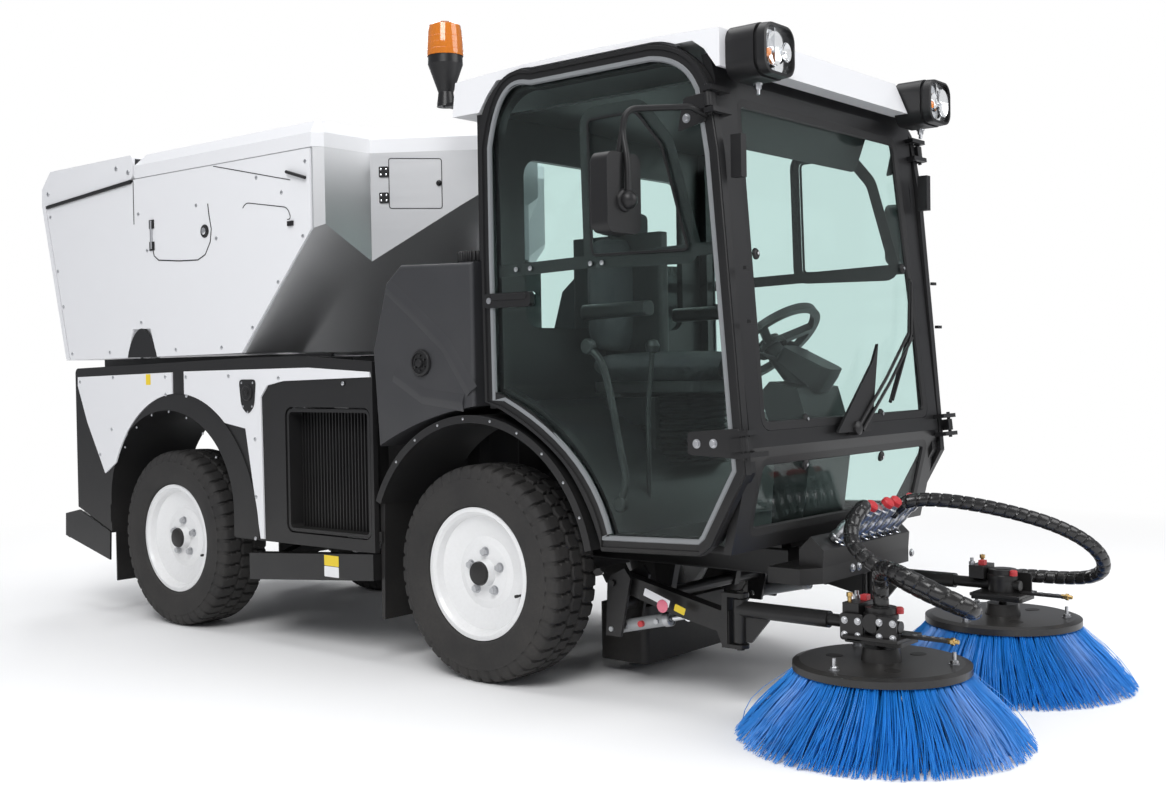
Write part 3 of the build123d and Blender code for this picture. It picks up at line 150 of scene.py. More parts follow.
class Surface:
    """Vertices and faces of one piece, gathered as arrays before they go into a mesh."""

    def __init__(self):
        self.points = []
        self.faces = []
        self.count = 0

    def add(self, points, faces):
        points = np.asarray(points, float).reshape(-1, 3)
        self.faces += [[int(i) + self.count for i in face] for face in faces]
        self.points.append(points)
        self.count += len(points)
        return self

    def carried(self, profile, path, up=(0, 0, 1), scale=None, ends=True):
        """A closed profile (across, up) carried along a path: point = path + across * side + up * rise,
        where side and rise stand square to the path's tangent and `scale` sizes the profile at each step."""
        profile = np.asarray(profile, float)
        path = np.asarray(path, float)
        tangent = directions(path)
        side = np.cross(tangent, np.asarray(up, float))
        side /= np.linalg.norm(side, axis=1)[:, None]
        rise = np.cross(side, tangent)
        size = np.ones(len(path)) if scale is None else np.asarray(scale, float)
        grid = (path[:, None] + profile[None, :, 0, None] * side[:, None] * size[:, None, None]
                + profile[None, :, 1, None] * rise[:, None] * size[:, None, None])
        return self.grid(grid, closed_v=True, ends=ends, flip=winding(profile) < 0)

    def grid(self, grid, closed_u=False, closed_v=False, ends=False, flip=False):
        """Quads between neighbours of a grid of points; `ends` closes the first and last rows."""
        rows, n = grid.shape[:2]
        i = np.arange(rows if closed_u else rows - 1)[:, None]
        j = np.arange(n if closed_v else n - 1)[None, :]
        a = i * n + j
        b = i * n + (j + 1) % n
        c = ((i + 1) % rows) * n + (j + 1) % n
        d = ((i + 1) % rows) * n + j
        quads = np.stack([a, b, c, d], -1).reshape(-1, 4)
        faces = quads[:, ::-1] if flip else quads
        faces = faces.tolist()
        if ends:
            first, last = list(range(n)), list(range((rows - 1) * n, rows * n))
            faces += [first if flip else first[::-1], last[::-1] if flip else last]
        return self.add(grid.reshape(-1, 3), faces)

    def turned(self, profile, place, axis=(0, 0, 1), steps=32):
        """A profile (radius, height) turned about an axis through `place`: cos and sin of the turn
        by the radius. Where the profile starts and ends on the axis, the poles are closed by fans."""
        profile = np.asarray(profile, float)
        axis = unit(axis)
        helper = np.array((1.0, 0, 0)) if abs(axis[0]) < 0.9 else np.array((0, 1.0, 0))
        e1 = unit(np.cross(axis, helper))
        e2 = np.cross(axis, e1)
        turn = np.linspace(0, 2 * np.pi, steps, endpoint=False)
        ring = np.cos(turn)[:, None] * e1 + np.sin(turn)[:, None] * e2
        poles = [k for k in (0, len(profile) - 1) if profile[k, 0] < 1e-6]
        body = [k for k in range(len(profile)) if k not in poles]
        grid = (np.asarray(place, float) + profile[body, None, 0, None] * ring[None]
                + profile[body, None, 1, None] * axis)
        start = self.count
        self.grid(grid, closed_v=True)
        for pole in poles:
            row = 0 if pole == 0 else len(body) - 1
            base = start + row * steps
            self.points.append((np.asarray(place, float) + profile[pole, 1] * axis)[None])
            centre = self.count
            self.count += 1
            here = base + np.arange(steps)
            after = base + (np.arange(steps) + 1) % steps
            fan = (after, here) if pole == 0 else (here, after)
            self.faces += np.stack([np.full(steps, centre), *fan], -1).tolist()
        return self

    def block(self, low, high):
        """A box between two corners, as a rectangle carried along Z."""
        low, high = np.asarray(low, float), np.asarray(high, float)
        corners = [(low[0], low[1]), (high[0], low[1]), (high[0], high[1]), (low[0], high[1])]
        points = [(x, y, z) for z in (low[2], high[2]) for x, y in corners]
        return self.add(points, [(3, 2, 1, 0), (4, 5, 6, 7), (0, 1, 5, 4), (1, 2, 6, 5), (2, 3, 7, 6),
                                 (3, 0, 4, 7)])

    def plate(self, outline, origin, across, up, thickness):
        """A flat outline (across, up) given a thickness along the normal across x up."""
        outline = np.asarray(outline, float)
        across, up = np.asarray(across, float), np.asarray(up, float)
        normal = np.cross(across, up)
        if winding(outline) < 0:
            outline = outline[::-1]
        n = len(outline)
        low = np.asarray(origin, float) + outline[:, :1] * across + outline[:, 1:] * up
        points = np.concatenate([low, low + normal * thickness])
        sides = [(k, (k + 1) % n, (k + 1) % n + n, k + n) for k in range(n)]
        caps = [tuple(range(n))[::-1], tuple(range(n, 2 * n))]
        if thickness < 0:
            sides = [s[::-1] for s in sides]
            caps = [c[::-1] for c in caps]
        return self.add(points, caps + sides)

    def object(self, name, material, body, slot, smooth=True, bevel=0.0, angle=35):
        mesh = bpy.data.meshes.new(name)
        mesh.from_pydata(np.concatenate(self.points).tolist(), [], self.faces)
        mesh.materials.append(material)
        outwards = bmesh.new()
        outwards.from_mesh(mesh)
        bmesh.ops.recalc_face_normals(outwards, faces=outwards.faces)
        outwards.to_mesh(mesh)
        outwards.free()
        mesh.update()
        piece = bpy.data.objects.new(name, mesh)
        bpy.context.scene.collection.objects.link(piece)
        if bevel:
            edge = piece.modifiers.new("bevel", "BEVEL")
            edge.width = bevel
            edge.segments = 2
            edge.limit_method = "ANGLE"
            edge.angle_limit = math.radians(40)
        if smooth:
            mesh.shade_smooth()
            mesh.set_sharp_from_angle(angle=math.radians(angle))
        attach(piece, body)
        return piece


def rounded(width, height, radius, steps=5):
    """A rectangle with round corners as (across, up): quarter circles about the four inner corners."""
    turn = np.linspace(0, np.pi / 2, steps)
    out = []
    for k, (sx, sy) in enumerate(((1, 1), (-1, 1), (-1, -1), (1, -1))):
        a = turn + k * np.pi / 2
        out.append(np.stack([sx * (width / 2 - radius) + radius * np.cos(a),
                             sy * (height / 2 - radius) + radius * np.sin(a)], 1))
    return np.concatenate(out)


def ring(radius, steps=16):
    """A circle as (across, up)."""
    a = np.linspace(0, 2 * np.pi, steps, endpoint=False)
    return np.stack([radius * np.cos(a), radius * np.sin(a)], 1)


def smooth_path(points, steps):
    """A path through given points: a cubic through each point with the chord between its neighbours."""
    p = np.asarray(points, float)
    p = np.concatenate([2 * p[:1] - p[1:2], p, 2 * p[-1:] - p[-2:-1]])
    out = []
    for k in range(1, len(p) - 2):
        t = np.linspace(0, 1, steps, endpoint=False)[:, None]
        a, b, c, d = p[k - 1:k + 3]
        out.append(0.5 * (2 * b + (c - a) * t + (2 * a - 5 * b + 4 * c - d) * t ** 2
                          + (3 * b - a - 3 * c + d) * t ** 3))
    return np.concatenate(out + [p[-2:-1]])


def screw(surface, place, axis, radius=None):
    """A domed screw head: a quarter circle turned about its axis, standing on `place`."""
    r = radius or sizes().screw_radius
    a = np.linspace(0, np.pi / 2, 4)
    profile = np.stack([r * np.cos(a), 0.45 * r * np.sin(a)], 1)
    profile[-1, 0] = 0
    return surface.turned(np.concatenate([[(r, -0.002)], profile]), place, axis, 10)


def screw_row(surface, spots, side, y, radius):
    """Screw heads on a side, at spots (x, z)."""
    for x, z in spots:
        screw(surface, (x, side * y, z), (0, side, 0), radius)


def hexagon(surface, place, axis, radius, height):
    """A hexagon bolt head on a washer: a six-sided turn over a round one."""
    surface.turned([(radius * 1.35, -0.001), (radius * 1.35, height * 0.2), (0, height * 0.2)], place, axis,
                   16)
    surface.turned([(radius, 0), (radius, height * 0.85), (radius * 0.85, height), (0, height)], place, axis,
                   6)
    return surface


def rod(surface, points, radius, sides=10, up=(0, 0, 1)):
    """A round rod: a circle carried along its points."""
    return surface.carried(ring(radius, sides), points, up=up)


def strip(surface, route, side, y, width=0.003, depth=0.001):
    """A thin line on a side panel: a small rectangle carried along the route's (x, z) points."""
    path = [(x, side * y, z) for x, z in route]
    profile = [(-width / 2, -depth), (width / 2, -depth), (width / 2, depth), (-width / 2, depth)]
    return surface.carried(profile, path, up=(0, side, 0))


def round_corners(points, radius, steps=6):
    """A closed outline whose corners are quadratic curves that start and end `radius` from each corner."""
    p = np.asarray(points, float)
    out = []
    for k, corner in enumerate(p):
        before, after = p[k - 1] - corner, p[(k + 1) % len(p)] - corner
        start = corner + before / np.linalg.norm(before) * radius
        end = corner + after / np.linalg.norm(after) * radius
        t = np.linspace(0, 1, steps)[:, None]
        out.append((1 - t) ** 2 * start + 2 * t * (1 - t) * corner + t ** 2 * end)
    return np.concatenate(out)


def loop(surface, outline, origin, across, up, profile):
    """A closed moulding: a small profile (inwards, outwards from the plane) carried round an outline
    (across, up), at each point square to the outline's own direction."""
    outline = np.asarray(outline, float)
    across, up = np.asarray(across, float), np.asarray(up, float)
    normal = np.cross(across, up)
    tangent = np.roll(outline, -1, 0) - np.roll(outline, 1, 0)
    tangent /= np.linalg.norm(tangent, axis=1)[:, None]
    area = winding(outline)
    inward = np.stack([-tangent[:, 1], tangent[:, 0]], 1) * np.sign(area)
    profile = np.asarray(profile, float)
    flat = outline[:, None] + profile[None, :, :1] * inward[:, None]
    grid = (np.asarray(origin, float) + flat[..., :1] * across + flat[..., 1:] * up
            + profile[None, :, 1, None] * normal)
    return surface.grid(grid, closed_u=True, closed_v=True, flip=(winding(profile) > 0) != (area > 0))


def side_frame(side):
    """Directions for a drawing on a side: across runs forwards on the right and rearwards on the left,
    up runs along +Z, and so the normal points outwards."""
    return ((-side, 0, 0), (0, 0, 1))


def on_side(points, side):
    """Points (x, z) of a side panel as (across, up) of `side_frame`."""
    return [(-side * x, z) for x, z in points]


# Materials: shared effects are node groups that put out only masks, colours and heights

def new_group(name, inputs, outputs):
    group = bpy.data.node_groups.new(name, "ShaderNodeTree")
    for kind, label, value in inputs:
        socket = group.interface.new_socket(label, in_out="INPUT", socket_type=kind)
        socket.default_value = value
    for kind, label in outputs:
        group.interface.new_socket(label, in_out="OUTPUT", socket_type=kind)
    return group, group.nodes.new("NodeGroupInput"), group.nodes.new("NodeGroupOutput")


def math_node(tree, operation, a, b=0.0, clamp=False):
    node = tree.nodes.new("ShaderNodeMath")
    node.operation = operation
    node.use_clamp = clamp
    for socket, value in zip(node.inputs, (a, b)):
        if isinstance(value, (int, float)):
            socket.default_value = value
        else:
            tree.links.new(value, socket)
    return node.outputs[0]


def noise(tree, vector, scale, detail=4.0, roughness=0.55):
    node = tree.nodes.new("ShaderNodeTexNoise")
    node.inputs["Detail"].default_value = detail
    node.inputs["Roughness"].default_value = roughness
    if isinstance(scale, (int, float)):
        node.inputs["Scale"].default_value = scale
    else:
        tree.links.new(scale, node.inputs["Scale"])
    tree.links.new(vector, node.inputs["Vector"])
    return node.outputs[0]


def mix_colour(tree, factor, a, b):
    node = tree.nodes.new("ShaderNodeMix")
    node.data_type = "RGBA"
    for index, value in ((0, factor), (6, a), (7, b)):
        socket = node.inputs[index]
        if isinstance(value, (int, float, tuple)):
            socket.default_value = value
        else:
            tree.links.new(value, socket)
    return node.outputs[2]


def road_film_group():
    """Grime: fine and broad noise, thicker near the ground, as a mask from 0 to 1, and a light mottle."""
    group, source, out = new_group("road_film", [
        ("NodeSocketFloat", "Amount", 0.3), ("NodeSocketFloat", "Ground height", 0.9),
        ("NodeSocketFloat", "Scale", 6.0)], [("NodeSocketFloat", "Film"), ("NodeSocketFloat", "Mottle")])
    place = group.nodes.new("ShaderNodeTexCoord").outputs["Object"]
    split = group.nodes.new("ShaderNodeSeparateXYZ")
    group.links.new(place, split.inputs[0])
    low = math_node(group, "SUBTRACT", 1.0, math_node(group, "DIVIDE", split.outputs[2], source.outputs[1]),
                    True)
    broad = noise(group, place, source.outputs[2])
    fine = noise(group, place, 90.0)
    film = math_node(group, "MULTIPLY", math_node(group, "ADD", low, 0.15), broad)
    film = math_node(group, "MULTIPLY", film, math_node(group, "MULTIPLY", source.outputs[0], 2.2), True)
    film = math_node(group, "MULTIPLY", film, math_node(group, "ADD", fine, 0.5), True)
    group.links.new(film, out.inputs[0])
    group.links.new(math_node(group, "SUBTRACT", broad, 0.5), out.inputs[1])
    return group


def grain_group():
    """A fine bump: cells and noise at the grain's size, for moulded plastic, rubber and cast metal."""
    group, source, out = new_group("moulded_grain", [("NodeSocketFloat", "Scale", 300.0)],
                                   [("NodeSocketFloat", "Height")])
    place = group.nodes.new("ShaderNodeTexCoord").outputs["Object"]
    cells = group.nodes.new("ShaderNodeTexVoronoi")
    group.links.new(place, cells.inputs["Vector"])
    group.links.new(source.outputs[0], cells.inputs["Scale"])
    fine = noise(group, place, source.outputs[0], 2.0)
    group.links.new(math_node(group, "ADD", cells.outputs["Distance"], fine), out.inputs[0])
    return group


def brushed_group():
    """Long fine streaks along one direction: noise on coordinates that are squeezed across it."""
    group, source, out = new_group("brushed_streaks", [("NodeSocketVector", "Squeeze", (2.0, 2.0, 300.0))],
                                   [("NodeSocketFloat", "Streaks")])
    place = group.nodes.new("ShaderNodeTexCoord").outputs["Object"]
    squeeze = group.nodes.new("ShaderNodeVectorMath")
    squeeze.operation = "MULTIPLY"
    group.links.new(place, squeeze.inputs[0])
    group.links.new(source.outputs[0], squeeze.inputs[1])
    group.links.new(noise(group, squeeze.outputs[0], 1.0, 3.0, 0.6), out.inputs[0])
    return group


GROUPS = {}


def group_node(material, name, **values):
    makers = {"road_film": road_film_group, "moulded_grain": grain_group, "brushed_streaks": brushed_group}
    if name not in GROUPS:
        GROUPS[name] = makers[name]()
    node = material.node_tree.nodes.new("ShaderNodeGroup")
    node.node_tree = GROUPS[name]
    for key, value in values.items():
        node.inputs[key.replace("_", " ").capitalize()].default_value = value
    return node


def finish_material(name, colour, roughness, metallic=0.0, film=0.25, film_colour=(0.23, 0.21, 0.18),
                    grain=0.0,
                    grain_scale=300.0, streaks=None, coat=0.0, ground=0.9, spread=0.10, bump=0.0,
                    specular=0.5):
    """A principled material whose colour and roughness vary with grime, mottle, grain and streaks."""
    if name in bpy.data.materials:
        return bpy.data.materials[name]
    material = bpy.data.materials.new(name)
    material.use_nodes = True
    material.diffuse_color = (*colour, 1)
    tree = material.node_tree
    shader = tree.nodes["Principled BSDF"]
    shader.inputs["Metallic"].default_value = metallic
    shader.inputs["Specular IOR Level"].default_value = specular
    shader.inputs["Coat Weight"].default_value = coat
    shader.inputs["Coat Roughness"].default_value = 0.08
    grime = group_node(material, "road_film", amount=film, ground_height=ground)
    dark = tuple(c * (1 - spread) for c in colour) + (1.0,)
    light = tuple(min(1.0, c * (1 + spread)) for c in colour) + (1.0,)
    mottle = math_node(tree, "ADD", grime.outputs["Mottle"], 0.5, True)
    base = mix_colour(tree, mottle, dark, light)
    shade = mix_colour(tree, grime.outputs["Film"], base, (*film_colour, 1.0))
    rough = math_node(tree, "ADD", math_node(tree, "MULTIPLY", grime.outputs["Film"], 0.35), roughness, True)
    height = None
    if streaks:
        lines = group_node(material, "brushed_streaks", squeeze=streaks)
        rough = math_node(tree, "ADD", rough, math_node(tree, "MULTIPLY", math_node(
            tree, "SUBTRACT", lines.outputs[0], 0.5), 0.16), True)
        height = lines.outputs[0] if bump else None
    if grain:
        cells = group_node(material, "moulded_grain", scale=grain_scale)
        height = cells.outputs[0]
    if height is not None:
        relief = tree.nodes.new("ShaderNodeBump")
        relief.inputs["Strength"].default_value = grain or bump or 0.02
        relief.inputs["Distance"].default_value = 0.001
        tree.links.new(height, relief.inputs["Height"])
        tree.links.new(relief.outputs[0], shader.inputs["Normal"])
    tree.links.new(shade, shader.inputs["Base Color"])
    tree.links.new(rough, shader.inputs["Roughness"])
    return material


def glass_material(name, tint, roughness=0.02, weight=1.0):
    """Tinted glass with a faint film of dust."""
    if name in bpy.data.materials:
        return bpy.data.materials[name]
    material = bpy.data.materials.new(name)
    material.use_nodes = True
    tree = material.node_tree
    shader = tree.nodes["Principled BSDF"]
    shader.inputs["Metallic"].default_value = 0.0
    shader.inputs["Transmission Weight"].default_value = weight
    shader.inputs["IOR"].default_value = 1.05 if weight == 1.0 else 1.45
    shader.inputs["Specular IOR Level"].default_value = 1.0
    shader.inputs["Coat Weight"].default_value = 0.3
    shader.inputs["Coat Roughness"].default_value = 0.03
    grime = group_node(material, "road_film", amount=0.012, ground_height=2.6)
    shade = mix_colour(tree, grime.outputs["Film"], (*tint, 1.0), (0.7, 0.7, 0.68, 1.0))
    tree.links.new(shade, shader.inputs["Base Color"])
    tree.links.new(math_node(tree, "ADD", grime.outputs["Film"], roughness, True), shader.inputs["Roughness"])
    return material


def white_paint():
    return finish_material("white_panel", tuple(colours().panels), 0.28, film=0.035, coat=0.4, ground=1.0,
                           spread=0.012)


def black_coat():
    return finish_material("black_powder_coat", (0.009, 0.009, 0.010), 0.34, film=0.035, grain=0.02,
                           grain_scale=900, specular=0.38)


def black_plastic():
    return finish_material("black_moulded_plastic", (0.011, 0.011, 0.012), 0.42, film=0.05, grain=0.05,
                           grain_scale=450, specular=0.35)


def tank_plastic():
    return finish_material("tank_plastic", (0.028, 0.029, 0.033), 0.5, film=0.05, grain=0.12, grain_scale=380,
                           ground=1.6)


def rubber():
    return finish_material("black_rubber", (0.009, 0.009, 0.010), 0.45, film=0.05, grain=0.12,
                           grain_scale=500, specular=0.35)


def tyre_rubber():
    return finish_material("tyre_rubber", (0.014, 0.014, 0.015), 0.66, film=0.22,
                           film_colour=(0.09, 0.083, 0.075),
                           grain=0.3, grain_scale=600, ground=1.6, specular=0.35)


def stainless():
    return finish_material("stainless_sheet", (0.60, 0.605, 0.615), 0.36, metallic=0.9, film=0.04,
                           streaks=(1.2, 1.2, 420.0), ground=1.8, spread=0.04)


def zinc():
    return finish_material("zinc_plate", (0.55, 0.56, 0.58), 0.3, metallic=1.0, film=0.12)


def chrome():
    return finish_material("chrome_rod", (0.75, 0.76, 0.78), 0.09, metallic=1.0, film=0.05)


def brass():
    return finish_material("brass_fitting", (0.62, 0.42, 0.16), 0.26, metallic=1.0, film=0.12)


def red_cap():
    return finish_material("red_cap", (0.55, 0.02, 0.03), 0.4, film=0.12)


def cylinder_paint():
    return finish_material("cylinder_grey", (0.22, 0.23, 0.24), 0.38, film=0.2, grain=0.08, grain_scale=700)


def rim_paint():
    return finish_material("rim_white", (0.84, 0.845, 0.85), 0.32, film=0.14, film_colour=(0.30, 0.28, 0.25),
                           coat=0.3, spread=0.04)


def cast_iron():
    return finish_material("cast_iron", (0.022, 0.022, 0.024), 0.55, film=0.12, grain=0.5, grain_scale=260)


def pane_glass():
    return glass_material("tinted_glass", tuple(colours().tint))


def amber_glass():
    return glass_material("amber_lens", tuple(colours().beacon), 0.08, 0.35)


def clear_glass():
    return glass_material("clear_cover", (0.96, 0.97, 0.97))


def sticker_yellow():
    return finish_material("yellow_sticker", (0.82, 0.60, 0.02), 0.4, film=0.04, spread=0.03)


def reflector_pink():
    return finish_material("pink_reflector", (0.75, 0.16, 0.24), 0.22, film=0.05, coat=0.5)


def seal_rubber():
    return finish_material("grey_seal", (0.20, 0.21, 0.22), 0.55, film=0.10, grain=0.15, grain_scale=600)


def seat_fabric():
    return finish_material("seat_fabric", (0.030, 0.032, 0.038), 0.88, film=0.10, grain=0.55,
                           grain_scale=1500, ground=2.0)


def hose_wrap():
    return finish_material("hose_spiral_wrap", (0.010, 0.010, 0.011), 0.24, film=0.04, grain=0.05,
                           grain_scale=700)


def disc_plastic():
    return finish_material("brush_disc_black", (0.014, 0.014, 0.015), 0.30, film=0.06, grain=0.06,
                           grain_scale=500, specular=0.4)


NODE_FINISHES = {
    "rim": rim_paint, "knuckle": cast_iron, "axles": cast_iron, "chassis": black_coat, "engine": cast_iron,
    "side_frames": black_plastic, "side_panels": white_paint, "grilles": black_plastic,
    "cab_frame": black_coat,
    "cab_glass": pane_glass, "cab_floor": black_coat, "cab_roof": white_paint, "headlamps": black_plastic,
    "beacon": black_coat, "door_frame": rubber, "door_glass": pane_glass, "console": black_plastic,
    "steering_wheel": black_plastic, "fenders": black_plastic, "tanks": tank_plastic, "suction": rubber,
    "hopper_shell": stainless, "hopper_walls": stainless,
    "hopper_panels": white_paint, "hopper_hood": white_paint, "tailgate": white_paint,
    "ram_barrels": cylinder_paint, "ram_rods": chrome, "front_carrier": black_coat, "lift_arm": black_coat,
    "lift_barrel": cylinder_paint, "lift_rod": chrome, "swing_arm": black_coat, "brush_disc": disc_plastic,
    "tyre": tyre_rubber, "bristles": rubber, "seat": rubber, "hose": rubber,
}


# Operators

class SWEEPER_OT_finishes(bpy.types.Operator):
    """Give every carried-over piece of the frame its own finish"""
    bl_idname = "sweeper.finishes"
    bl_label = "Frame finishes"

    def execute(self, context):
        for name, node in frame["nodes"].items():
            maker = next(make for start, make in NODE_FINISHES.items() if name.startswith(start))
            node.data.materials.clear()
            node.data.materials.append(maker())
        return {"FINISHED"}


class SWEEPER_OT_tyres(bpy.types.Operator):
    """Tyres with an all-terrain tread: the section turned about the axle, its tread lowered in the grooves"""
    bl_idname = "sweeper.tyres"
    bl_label = "Tyres"

    def execute(self, context):
        depth = sizes().tread_depth
        pitches = sizes().tread_pitches
        section = smooth_path([(0.0855, 0.207, 0), (0.0865, 0.222, 0), (0.099, 0.226, 0), (0.109, 0.256, 0),
                               (0.1115, 0.286, 0), (0.1095, 0.314, 0), (0.1075, 0.322, 0), (0.104, 0.336, 0),
                               (0.094, 0.352, 0),
                               (0.078, 0.3575, 0)], 3)[:, :2]
        tread = np.stack([np.linspace(0.076, -0.076, 41), np.full(41, 0.36)], 1)
        tread[:, 1] -= 0.0022 * (np.abs(tread[:, 0]) / 0.076) ** 2
        half = np.concatenate([section, tread, section[::-1] * (-1, 1)])
        across, radius = half[:, 0], half[:, 1]
        turn = np.linspace(0, 2 * np.pi, pitches * 12, endpoint=False)
        a, u = np.meshgrid(across, turn)
        phase = u * pitches / (2 * np.pi)
        zig = 0.014 * (np.abs(np.modf(phase)[0] - 0.5) - 0.25)
        groove = np.zeros_like(a)
        for centre in (-0.027, 0.027):
            groove = np.maximum(groove, np.clip(2.0 - np.abs(a - centre - zig) / 0.0026, 0, 1))
        outer_row = np.abs(a) > 0.027
        cut = np.modf(phase + 0.5 * outer_row + 3.2 * np.minimum(np.abs(a), 0.0765))[0]
        groove = np.maximum(groove, np.where(np.abs(cut - 0.5) > 0.40, 1.0, 0.0))
        on_tread = np.abs(a) < 0.0765
        shoulder = (np.abs(a) >= 0.0765) & (np.broadcast_to(radius, a.shape) > 0.316)
        lug = np.where(np.abs(cut - 0.5) > 0.34, 0.85, 0.0)
        drop = depth * (np.where(on_tread, groove, 0) + np.where(shoulder, lug, 0))
        wall_rings = 0.0020 * ((np.abs(np.broadcast_to(radius, a.shape) - 0.262) < 0.003)
                               | (np.abs(np.broadcast_to(radius, a.shape) - 0.312) < 0.003))
        r = np.broadcast_to(radius, a.shape) - drop
        a = a - np.sign(a) * (0.0008 - wall_rings) * ((r > 0.25) & (r < 0.33))
        for corner, axle_x, side in CORNERS:
            grid = np.stack([axle_x + r * np.cos(u), side * WHEEL_Y + a, AXLE_Z + r * np.sin(u)], -1)
            tyre = Surface().grid(grid, closed_u=True, closed_v=True, flip=False)
            piece = tyre.object(f"tyre_tread_{corner}", tyre_rubber(), f"wheel_{corner}", "tyre", angle=40)
            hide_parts(f"tyre_{corner}")
        return {"FINISHED"}


class SWEEPER_OT_wheel_fittings(bpy.types.Operator):
    """Wheel nuts, the hub's cap and the valve of each wheel"""
    bl_idname = "sweeper.wheel_fittings"
    bl_label = "Wheel fittings"

    def execute(self, context):
        for corner, axle_x, side in CORNERS:
            nuts = Surface()
            out = (0, side, 0)
            for k in range(5):
                angle = 2 * math.pi * (k + 0.25) / 5
                spot = (axle_x + 0.069 * math.cos(angle), side * (WHEEL_Y + 0.0475),
                        AXLE_Z + 0.069 * math.sin(angle))
                hexagon(nuts, spot, out, 0.0125, 0.020)
            nuts.object(f"wheel_nuts_{corner}", zinc(), f"wheel_{corner}", "rim", angle=30)
            cap = Surface().turned([(0.0405, 0.0), (0.0405, 0.020), (0.037, 0.027), (0.024, 0.031),
                                    (0, 0.032)],
                                   (axle_x, side * (WHEEL_Y + 0.062), AXLE_Z), out, 40)
            cap.object(f"hub_cap_{corner}", black_plastic(), f"wheel_{corner}", "rim")
            stem = Surface().turned([(0.0042, 0), (0.0042, 0.022), (0.0052, 0.023), (0.0052, 0.034),
                                     (0, 0.036)],
                                    (axle_x + 0.165, side * (WHEEL_Y + 0.052), AXLE_Z - 0.06), out, 14)
            stem.object(f"valve_{corner}", rubber(), f"wheel_{corner}", "rim")
        return {"FINISHED"}


class SWEEPER_OT_brushes(bpy.types.Operator):
    """Side brushes: tufts of bent bristles that splay from the disc to the ground, on three rows of roots"""
    bl_idname = "sweeper.brushes"
    bl_label = "Brushes"

    def execute(self, context):
        for side_name, side in SIDES:
            bristles = Surface()
            steps = 6
            t = np.linspace(0, 1, steps)
            for row, (root_r, tip_r, share) in enumerate(((0.226, 0.409, 1.0), (0.196, 0.362, 0.85),
                                                          (0.168, 0.322, 0.7))):
                tufts = int(sizes().tufts * share)
                count = tufts * sizes().strands
                tuft = np.repeat(np.arange(tufts), sizes().strands) * 2 * np.pi / tufts + row * 0.05
                root_turn = tuft + rng.normal(0, 0.032, count)
                lean = rng.normal(0.05, 0.035, count) * side
                reach = tip_r - np.abs(rng.normal(0, 0.020, count))
                root = root_r + rng.normal(0, 0.004, count)
                bow = rng.normal(0.018, 0.010, count)
                r = (root[:, None] + (reach - root)[:, None] * (0.25 * t + 0.75 * t ** 1.35)
                     + bow[:, None] * np.sin(np.pi * t))
                r = np.minimum(r, 0.4115)
                turn = root_turn[:, None] + lean[:, None] * t ** 1.5
                low = np.abs(rng.normal(0, 0.004, count)) + 0.0015
                z = 0.196 + (low - 0.196)[:, None] * t ** 0.92
                centre = np.stack([BRUSH_X + r * np.cos(turn), side * ARM_Y + r * np.sin(turn), z], -1)
                out = np.stack([np.cos(turn), np.sin(turn), np.zeros_like(turn)], -1)
                tan = np.stack([-np.sin(turn), np.cos(turn), np.zeros_like(turn)], -1)
                size = 0.0015
                corner = [centre + size * out, centre - 0.5 * size * out + 0.87 * size * tan,
                          centre - 0.5 * size * out - 0.87 * size * tan]
                points = np.stack(corner, 2)
                base = (np.arange(count) * steps * 3)[:, None, None]
                i = np.arange(steps - 1)[None, :, None] * 3
                j = np.arange(3)[None, None, :]
                quads = np.stack([base + i + j, base + i + (j + 1) % 3, base + i + 3 + (j + 1) % 3,
                                  base + i + 3 + j], -1).reshape(-1, 4)
                tips = np.stack([base[:, 0, 0] + (steps - 1) * 3 + k for k in (0, 1, 2)], -1)
                roots = np.stack([base[:, 0, 0] + k for k in (2, 1, 0)], -1)
                bristles.add(points.reshape(-1, 3), quads[:, ::-1].tolist() + tips[:, ::-1].tolist()
                             + roots[:, ::-1].tolist())
            material = finish_material("blue_bristles", tuple(colours().bristles), 0.36, film=0.10,
                                       ground=0.25,
                                       film_colour=(0.06, 0.16, 0.40), streaks=(120.0, 120.0, 4.0),
                                       spread=0.30)
            piece = bristles.object(f"bristle_tufts_{side_name}", material, f"brush_{side_name}",
                                    "bristle_blue",
                                    smooth=False)
            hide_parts(f"bristles_{side_name}")
        return {"FINISHED"}


